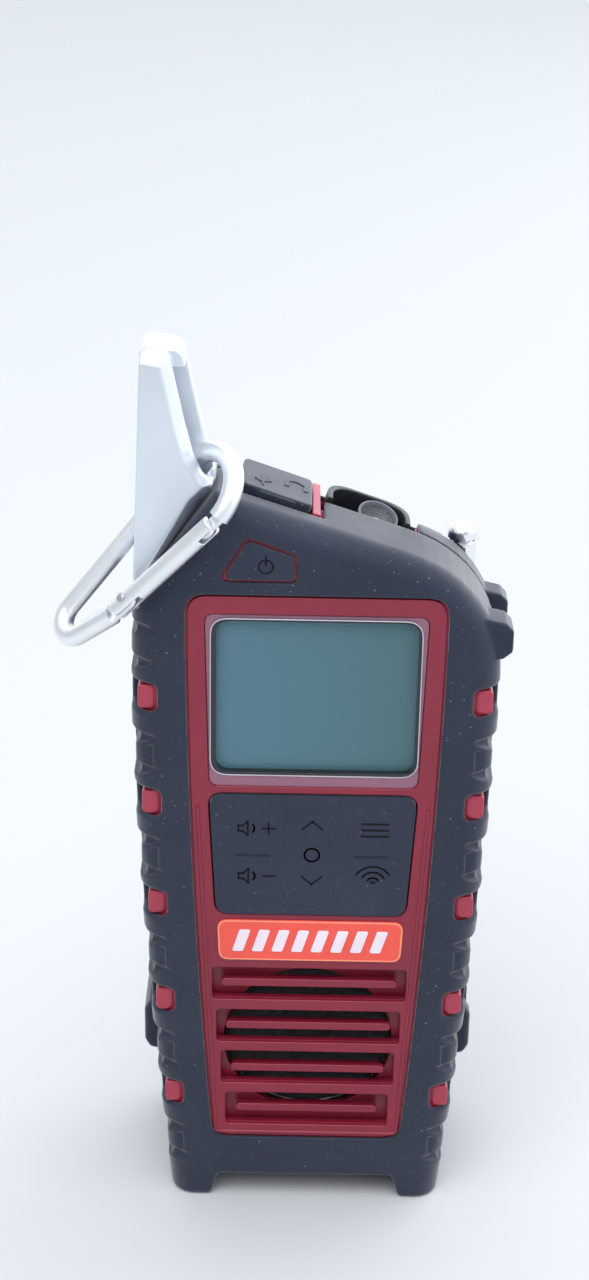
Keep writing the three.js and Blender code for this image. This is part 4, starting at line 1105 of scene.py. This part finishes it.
def slotted_head(x, z, y0, y1, radius, half_slot, deep):
    """A screw head turned about Y with a straight slot across it."""
    reach = math.sqrt(radius**2 - half_slot**2)
    upper = [p for p in circle(x, z, radius, 96) if p[1] - z > half_slot]
    upper = [(x + reach, z + half_slot)] + sorted(upper, key=lambda p: -p[0]) + [(x - reach, z + half_slot)]
    lower = [(x - (p[0] - x), z - (p[1] - z)) for p in upper]
    halves = [plate([half], y1 - deep - 0.05, y1, 0.12) for half in (upper, lower)]
    base = plate([circle(x, z, radius, 64)], y0, y1 - deep, 0.1)
    return joined([base] + halves)


door_head = slotted_head(0, 40.4, 46.1, 47.5, 3.6, 0.5, 0.6)
keep("door_screw_head", door_head, "steel", "battery_door_screw", body="door_screw")
for i, (x, z) in enumerate(SCREWS):
    head = slotted_head(x, z, 42.6, 44.9, 2.1, 0.3, 0.7)
    shank = turned([(0, 27), (1.3, 27), (1.3, 42.7), (0, 42.7)], (x, 0, z), (0, 1, 0), 24)
    keep(f"case_screw_head_{i + 1}", joined([head, shank]), "steel", f"case_screw_{i + 1}")

# ---- crank

lean = math.asin((12.5 - 9) / (CRANK.y - KNOB_PIVOT_Z))


def arm_outline(shrink):
    top_arc = arc(CRANK.x, CRANK.y, 12.5 - shrink, -math.degrees(lean), 180 + math.degrees(lean), 36)
    low_arc = arc(CRANK.x, KNOB_PIVOT_Z, 9 - shrink, 180 + math.degrees(lean), 360 - math.degrees(lean), 30)
    return top_arc + low_arc


arm_slot = rounded_box(CRANK.x - 5, KNOB_PIVOT_Z - 4.2, CRANK.x + 5, 82.4, 3)
wide_slot = rounded_box(CRANK.x - 6.3, KNOB_PIVOT_Z - 5.5, CRANK.x + 6.3, 83.7, 3.8)
arm_parts = [
    plate([arm_outline(0), arm_slot], 47.2, 52.4, 0.7),
    plate([arm_outline(0.9), arm_outline(2.3)[::-1]], 52.2, 53.2, 0.3),
    plate([wide_slot, arm_slot], 52.2, 53.2, 0.3),
]
keep("crank_arm_body", joined(arm_parts), "charcoal", "crank_arm", body="crank")
cap_rim = [(7, 52.3), (7.1, 54), (6.9, 54.3), (6.3, 54.6), (4.2, 54.45), (3.9, 54.2)]
cap = turned([(0, 52.3)] + cap_rim + [(0, 54.2)], (CRANK.x, 0, CRANK.y), (0, 1, 0), 64)
keep("crank_cap_disc", cap, "charcoal", "crank_cap", body="crank")

knob_profile = [(2.1, 4.2), (3.3, 4.2), (3.9, 4.6), (4.2, 5.2)]
for i in range(9):
    z = 6.2 + i * 1.85
    knob_profile += [(4.2, z), (3.85, z + 0.3), (3.85, z + 0.7), (4.2, z + 1.0)]
knob_profile += [(4.2, 22.8), (3.95, 23.5), (3.4, 24), (2.1, 24), (2.1, 4.2)]
knob_at = Vector((CRANK.x, 50.2, KNOB_PIVOT_Z))
keep("knob_grip", turned(knob_profile, knob_at, (0, 0, 1), 64), "charcoal", "crank_knob", body="knob")
post_parts = [
    turned([(0, -4.6), (2.6, -4.6), (2.9, -4.3), (2.9, 4.3), (2.6, 4.6), (0, 4.6)], knob_at, (1, 0, 0), 40),
    turned([(0, -6.5), (1.3, -6.5), (1.5, -6.3), (1.5, 6.3), (1.3, 6.5), (0, 6.5)], knob_at, (1, 0, 0), 32),
    turned([(0, 0), (1.8, 0), (1.8, 24.2), (1.5, 24.6), (0, 24.6)], knob_at, (0, 0, 1), 32),
]
keep("knob_post_bar", joined(post_parts), "steel", "crank_knob_post", body="knob_post")

# ---- antenna

SECTION_R = [3.25, 2.75, 2.3, 1.85, 1.4]
foot = Vector((ANTENNA.x, ANTENNA.y, 0))
for i in range(4):
    outer, inner = SECTION_R[i], SECTION_R[i + 1] + 0.15
    bottom = 38.6 if i == 0 else 44.2 + i
    top = 164 + 0.1 * i
    profile = [(inner, bottom), (outer - 0.15, bottom), (outer, bottom + 0.2), (outer, top - 1.0)]
    profile += [(outer - 0.12, top - 0.25), (inner + 0.12, top), (inner, top), (inner, bottom)]
    body = "antenna" if i == 0 else f"antenna_{i + 1}"
    tube = turned(profile, foot, (0, 0, 1), 48)
    keep(f"antenna_tube_{i + 1}", tube, "chrome", f"antenna_section_{i + 1}", body=body)
tip_profile = [(0, 49), (1.4, 49), (1.4, 164.5), (3.3, 164.6), (3.5, 164.8), (3.5, 166.2), (3.45, 166.5)]
tip_profile += [(3.2, 167.0), (2.7, 167.5), (1.9, 167.85), (1.0, 168.05), (0, 168.1)]
keep("antenna_cap", turned(tip_profile, foot, (0, 0, 1), 64), "chrome", "antenna_tip", body="antenna_5")
knuckle = [(1.65, -3.5), (3.9, -3.5), (4.2, -3.2), (4.2, 3.5), (3.9, 3.5), (1.65, 3.5), (1.65, -3.5)]
stem = [(0, 2.4), (2.55, 2.4), (2.55, 8.7), (2.2, 9), (0, 9)]
knuckle_parts = [turned(knuckle, ANTENNA, (0, 1, 0), 48), turned(stem, ANTENNA, (0, 0, 1), 40)]
keep("antenna_foot", joined(knuckle_parts), "chrome", "antenna_knuckle", body="antenna")
axle = [(0, 24.4), (1.2, 24.4), (1.35, 24.6), (1.35, 43.3), (1.2, 43.5), (0, 43.5)]
keep("antenna_axle", turned(axle, (ANTENNA.x, 0, ANTENNA.z), (0, 1, 0), 32), "steel", "antenna_pin")

# ---- port cover and the rib beside it

FLAT = Matrix.Rotation(math.radians(-90), 4, "X")


def deck_place(x):
    return Matrix.Translation((x, 0, top_at(x))) @ Matrix.Rotation(SLOPE_ANGLE, 4, "Y")


def deck_plate(outlines, z0, z1, bevel, place):
    """A plate drawn in x and y of a place, from z0 up to z1."""
    return plate(outlines, -z1, -z0, bevel, place @ FLAT)


port = deck_place(-9.4)
lid_outline = rounded(tapered(8.1, 10.6, 8.1, 26.8), 1.6)
lid_parts = [
    deck_plate([lid_outline], -1.2, 1.0, 0.5, port),
    deck_plate([rounded_box(-6.6, 20.4, 6.6, 25, 0.8)], -1.5, -0.9, 0.1, port),
    deck_plate([rounded_box(-4.4, 10.1, 4.4, 12.2, 1.0)], -0.9, 0.7, 0.4, port),
]
LID_Z = (0.9, 1.22)


def lid_lines(*lines, width=0.5):
    boxes = [box for points in lines for box in line_boxes(points, width)]
    return [deck_plate([box], *LID_Z, 0.1, port) for box in boxes]


plug_mark = ([(-3.6, 13.6), (-3.6, 19.2)], [(-5.2, 17.2), (-5.2, 16), (-3.6, 14.8)])
plug_mark += ([(-2.0, 17.8), (-2.0, 16.6), (-3.6, 15.4)],)
lid_parts += lid_lines(*plug_mark, arc(4.2, 19.4, 2.2, 0, 180, 8))
lid_parts += lid_lines([(2.0, 19.2), (2.0, 17.9)], [(6.4, 19.2), (6.4, 17.9)], width=1.0)
keep("port_lid", joined(lid_parts), "rubber_jacket", "port_cover", body="port_cover")

rib = deck_plate([rounded_box(8.6, 10.3, 10.5, 29, 0.5)], -3.4, -0.3, 0.25, port)
keep("port_rib", rib, "red_case")

# ---- torch

bezel_at = deck_place(12.1)


def hood_line(shrink):
    """The hood in plan, from its left front end round the back to its right front end."""
    left, right, back = -10.8 + shrink, 9 - shrink, 30.8 - shrink
    points = [(left, 20.7)] + quadratic((left, back - 6.2), (left, back), (left + 6.4, back), 10)
    return points + quadratic((right - 6.4, back), (right, back), (right, back - 6.2), 10) + [(right, 20.7)]


bezel_parts = [
    deck_plate([hood_line(0)[::-1]], -5.6, -4.6, 0.2, bezel_at),
    deck_plate([hood_line(0)[::-1] + hood_line(1.25)], -5.4, 0.7, 0.35, bezel_at),
]
keep("torch_housing", joined(bezel_parts), "black_plastic", "torch_bezel")
torch_at = Matrix.Translation((12.1, 25.5, top_at(12.1) - 3.3))
torch_at = torch_at @ Matrix.Rotation(SLOPE_ANGLE, 4, "Y") @ Matrix.Rotation(math.radians(18), 4, "X")
torch_axis = torch_at.to_3x3() @ Vector((0, 0, 1))


def torch_point(x, y, z):
    return torch_at @ Vector((x, y, z))


bowl = [(1.5, -1.6), (2.2, -1.6), (3.4, -1.0), (4.4, 0.2), (4.8, 0.8), (4.8, 1.7), (4.65, 1.85), (4.4, 1.85)]
bowl += [(4.15, 1.6), (3.9, 0.6), (3.0, -0.5), (2.3, -1.0), (1.5, -1.3), (1.5, -1.6)]
keep("torch_bowl", turned(bowl, torch_point(0.9, 0, 0.3), torch_axis, 64), "torch_grey", "torch_reflector")
led = [(0, -0.7), (1.2, -0.7), (1.2, 0.2), (0.9, 0.7), (0.4, 0.95), (0, 1.0)]
keep("torch_led", turned(led, torch_point(0.9, 0, -0.3), torch_axis, 40), "white_plastic")
dome = [(0, 0), (4.05, 0), (4.05, 0.2), (3.4, 0.42), (2.6, 0.58), (1.4, 0.7), (0, 0.72)]
keep("torch_window", turned(dome, torch_point(0.9, 0, 1.25), torch_axis, 64), "clear_pane", "torch_lens")

# ---- bracket

BRACKET = [
    (-40.9, 160.3), (-23.6, 184.1), (-22.6, 186.4), (-25.2, 188.6), (-27.3, 193.4),
    (-29, 200), (-30.6, 207.5), (-32, 214.4), (-33.6, 215.6), (-37.4, 216.5), (-38.9, 214.6),
]


def make_bracket():
    step = 0.25
    grid = Field((-42, 2, 158.5), (-21, 19, 218), step)
    front_outline = rounded(inset(BRACKET, 0.25), 1.4)
    wide = [(x + 2.4, z) if 2 < i < 9 else (x, z) for i, (x, z) in enumerate(BRACKET)]
    back_flat = grid.outline(rounded(wide, 1.4))
    front = grid.prism(front_outline, 3, 8.5, 0.35)
    # the rim along the flare and over the top is broken by a wide chamfer
    tall = [(-70, 100), (-27, 182), (-22.85, 186.4)] + [(x - 0.25, z) for x, z in BRACKET[3:8]]
    tall += [(-33.6, 215.35), (-37.4, 216.2), (-70, 216.2)]
    flare = grid.outline(rounded(tall, 1.4))
    f_chamfer = (flare + 2.3 - (grid.y - 3)) / math.sqrt(2)
    front = soft_max(front, f_chamfer, 0.5)
    back = grid.extrude(back_flat, 8.0, 18, 0.7)
    f = soft_min(front, back, 0.3)
    along = (Vector(CORNER_HIGH) - Vector(CORNER_LOW)).normalized()
    out = Vector((-along.y, along.x))
    a = Vector(CORNER_LOW) - along * 30 + out * 3.4
    b = Vector(CORNER_HIGH) + along * 30 + out * 3.4
    slot = grid.prism([tuple(a), tuple(b), (-20, 211.4), (-60, 211.4)], 7.5, 14.5)
    f = cut_from(f, 0.6, slot)
    # the front face is dished towards the foot of the flare
    dish = grid.taper((-27.5, -37.0, 186.0), (-34.5, -37.2, 166.0), 40.55, 40.2)
    f = cut_from(f, 0.3, dish)
    return shell(grid, f)


keep("bracket_body", make_bracket(), "bracket_silver", "carabiner_bracket")

# ---- carabiner

E1 = Vector((0.656, 0, 0.755)).normalized()
E2 = Vector((0.37, -0.87, -0.3215)).normalized()
RING_NORMAL = E1.cross(E2).normalized()
RING_ORIGIN = Vector((-33.3, 11, 183))
WIDE_R, NARROW_R, WIDE_U, NARROW_U, WIRE_R = 9.6, 6.4, 6.6, -27.0, 2.25
PIN_U, HINGE_U, NOSE_U = -21.0, -23.6, 5.6


def half_at(u):
    return NARROW_R + (WIDE_R - NARROW_R) * (u - NARROW_U) / (WIDE_U - NARROW_U)


AXIS_V = half_at(0)


def in_ring(u, v, n=0.0):
    return RING_ORIGIN + E1 * u + E2 * v + RING_NORMAL * n


END_U, END_R = -34.3, 4.5


def ring_line():
    """The wire's centre line, from the nose round the wide end and the narrow end to the hinge."""
    tilt = math.asin((WIDE_R - NARROW_R) / (WIDE_U - NARROW_U))
    line = []
    for i in range(41):
        a = -math.pi / 2 + tilt + (math.pi - tilt) * i / 40
        line.append(in_ring(WIDE_U + WIDE_R * math.cos(a), AXIS_V - WIDE_R * math.sin(a)))
    for i in range(1, 20):
        u = WIDE_U + (END_U - WIDE_U) * i / 20
        line.append(in_ring(u, AXIS_V - half_at(u)))
    end_v = AXIS_V - half_at(END_U) + END_R
    for i in range(31):
        a = math.radians(90 + 165 * i / 30)
        line.append(in_ring(END_U + END_R * math.cos(a), end_v - END_R * math.sin(a)))
    start, stop = line[-1], in_ring(HINGE_U - 2.2, AXIS_V + half_at(HINGE_U - 2.2))
    line += [start.lerp(stop, t) for t in (0.33, 0.66, 1.0)]
    return line


def smoothed(points, rounds=3):
    for _ in range(rounds):
        inner = [(a + b * 2 + c) / 4 for a, b, c in zip(points, points[1:], points[2:])]
        points = [points[0]] + inner + [points[-1]]
    return points


gate_start = in_ring(HINGE_U + 0.9, AXIS_V + half_at(HINGE_U + 0.9))
gate_end = in_ring(NOSE_U, AXIS_V + half_at(NOSE_U))
along_gate = (gate_end - gate_start).normalized()
hinge_pin = in_ring(PIN_U, AXIS_V + half_at(PIN_U))
gate_length = (gate_end - hinge_pin).length
across_gate = along_gate.cross(RING_NORMAL).normalized()
gate_axes = Matrix((RING_NORMAL, across_gate, along_gate)).transposed().to_4x4()
GATE_PLACE = Matrix.Translation(hinge_pin) @ gate_axes
GATE_STEP = 0.15


def make_gate():
    """The gate, lying along Z from its hinge pin: forked round the ring's tongue at both ends."""
    grid = Field((-2.6, -2.6, -5.2), (2.6, 2.6, gate_length + 0.6), GATE_STEP)
    f = soft_max(np.sqrt(grid.x**2 + grid.y**2) - WIRE_R, grid.z - gate_length, 0.5)
    tip = np.sqrt(grid.y**2 + (grid.z + 2.0) ** 2) - WIRE_R
    f = soft_max(f, np.where(grid.z < -2.0, tip, -9.0), 0.4)
    fork = np.maximum(np.abs(grid.x) - 0.8, grid.z - 3.4)
    slot = np.maximum(np.abs(grid.x) - 0.85, gate_length - 4.4 - grid.z)
    return shell(grid, cut_from(f, 0.15, fork, slot), GATE_PLACE)


def make_tongues():
    """The flattened ends of the ring that lie in the gate's forks."""
    grid = Field((-2.6, -2.9, -6.5), (2.6, 2.9, gate_length + 4.4), GATE_STEP)
    flat = np.abs(grid.x) - 0.62
    hinge = np.where(grid.z > 0, np.sqrt(grid.y**2 + grid.z**2), np.abs(grid.y)) - 2.05
    hinge = np.maximum(hinge, -6.0 - grid.z)
    far = gate_length - 2.0
    head = np.sqrt(grid.y**2 + (grid.z - far) ** 2) - 2.05
    neck = np.maximum(np.abs(grid.y) - 1.45, np.maximum(far - grid.z, grid.z - gate_length - 4.2))
    return shell(grid, soft_max(np.minimum(hinge, np.minimum(head, neck)), flat, 0.3), GATE_PLACE)


ring = joined([sweep(smoothed(ring_line()), WIRE_R, 32), make_tongues()])
keep("carabiner_wire", ring, "carabiner_silver", "carabiner_ring", body="carabiner")
keep("carabiner_gate_bar", make_gate(), "carabiner_silver", "carabiner_gate", body="gate")
rivet_profile = [(0, -2.85), (0.7, -2.8), (1.05, -2.6), (1.1, -2.35), (0.5, -2.2), (0.5, 2.2), (1.1, 2.35)]
rivet_profile += [(1.05, 2.6), (0.7, 2.8), (0, 2.85)]
rivet = turned(rivet_profile, hinge_pin, RING_NORMAL, 32)
keep("carabiner_rivet_pin", rivet, "steel", "carabiner_rivet", body="carabiner")

# ---- inner pieces kept from the frame

KEPT = {
    "display_backlight": "white_plastic", "keypad_mat": "rubber_keys", "speaker_magnet": "ferrite_grey",
    "main_board": "board_green", "ferrite_rod": "ferrite_grey", "crank_bush": "brass", "crank_shaft": "steel",
    "crank_gear": "gear_nylon", "idler_gear": "gear_nylon", "idler_axle": "steel", "rotor_pinion": "brass",
    "generator": "steel", "gear_chassis": "charcoal", "battery_pack": "battery_wrap", "usb_socket": "steel",
    "headphone_jack": "black_plastic",
}
for name, look in KEPT.items():
    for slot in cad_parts[name].material_slots:
        slot.material = MATERIALS[look]


def speaker_piece(profile):
    """A piece turned about the speaker's axis, its profile measured from the basket's front."""
    placed = [(radius, along + BAFFLE_Y + 1.9) for radius, along in profile]
    return turned(placed, (0, 0, SPEAKER_Z), (0, 1, 0), 72)


basket = [(20.6, 0), (21.7, 0), (21.9, 0.2), (21.9, 1.2), (21.4, 1.4), (14.6, 9), (9, 9), (9, 8), (14, 8)]
basket += [(20.4, 1.4), (20.6, 0)]
keep("speaker_basket", speaker_piece(basket), "steel", "speaker_frame")
paper = [(0, 3.4), (2.5, 3.6), (5, 4.5), (6.2, 5.6), (9, 4.5), (13, 2.7), (16.2, 1.3), (16.8, 0.8)]
paper += [(17.8, 0.2), (18.8, 0.3), (19.6, 0.9), (19.9, 1.2), (19.9, 1.6), (16, 2.4), (8.4, 6.6)]
paper += [(8.4, 9.6), (0, 9.6)]
keep("speaker_diaphragm", speaker_piece(paper), "cone_paper", "speaker_cone")

# ---- studio

FLOOR_SIZE = 8
LAMP_SIZE = (1.2, 1.2)
LAMP_COLOR = (0.98, 0.99, 1)
LAMP_TARGET = Vector((0, 0, 0.1))
SKY_COLOR = (0.92, 0.955, 1.0, 1)
SKY_BASE = 0.55
# the light tent: a bright ceiling and paler walls at the back and the right, as (axis, sharpness, gain)
SKY_GLOW = (("Z", 4, 1.6), ("Y", 3, 2.2), ("X", 3, 1.6))
CAMERA_PLACE = (0.00246, -0.48255, 0.36573)
CAMERA_DOWN, CAMERA_LEFT = 24.97, 1.04  # how far it is tipped down and turned left, in degrees
LENS, SENSOR = 64.69, 36

bpy.ops.mesh.primitive_plane_add(size=1)
floor = bpy.context.object
floor.name = "floor"
floor.dimensions = (FLOOR_SIZE, FLOOR_SIZE, 0)
bpy.context.view_layer.update()
floor.data.materials.append(MATERIALS["studio_floor"])
floor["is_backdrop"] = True


def soft_light(name, place, power):
    data = bpy.data.lights.new(name, "AREA")
    data.shape = "RECTANGLE"
    data.size, data.size_y = LAMP_SIZE
    data.energy = power
    data.color = LAMP_COLOR
    lamp = in_scene(name, data)
    lamp.location = place
    lamp.rotation_euler = (LAMP_TARGET - Vector(place)).to_track_quat("-Z", "Y").to_euler()


soft_light("overhead_light", (-0.3, -0.8, 1.4), 14)
soft_light("right_light", (1.1, 0.9, 0.8), 9)

bpy.context.scene.view_settings.view_transform = "Standard"
world = bpy.data.worlds.new("studio")
bpy.context.scene.world = world
world.use_nodes = True
sky = world.node_tree.nodes["Background"].inputs
sky["Color"].default_value = SKY_COLOR


def sky_math(kind, a, b):
    made = world.node_tree.nodes.new("ShaderNodeMath")
    made.operation = kind
    for socket, value in zip(made.inputs, (a, b)):
        feed(world.node_tree, socket, value)
    return made.outputs[0]


direction = world.node_tree.nodes.new("ShaderNodeSeparateXYZ")
sky_coords = world.node_tree.nodes.new("ShaderNodeTexCoord")
feed(world.node_tree, direction.inputs[0], sky_coords.outputs["Generated"])
glow = SKY_BASE
for axis, sharpness, gain in SKY_GLOW:
    towards = sky_math("MAXIMUM", direction.outputs[axis], 0.0)
    glow = sky_math("ADD", glow, sky_math("MULTIPLY", sky_math("POWER", towards, sharpness), gain))
feed(world.node_tree, sky["Strength"], glow)

camera_data = bpy.data.cameras.new("camera")
camera_data.lens = LENS
camera_data.sensor_width = SENSOR
camera = in_scene("camera", camera_data)
tipped = Matrix.Rotation(math.radians(90 - CAMERA_DOWN), 4, "X")
turned_left = Matrix.Rotation(math.radians(CAMERA_LEFT), 4, "Z")
camera.matrix_world = Matrix.Translation(CAMERA_PLACE) @ tipped @ turned_left
bpy.context.scene.camera = camera


def corners(box):
    return [list(corner) for corner in box]


{"cad": corners(cad_box), "visual": corners(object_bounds())}
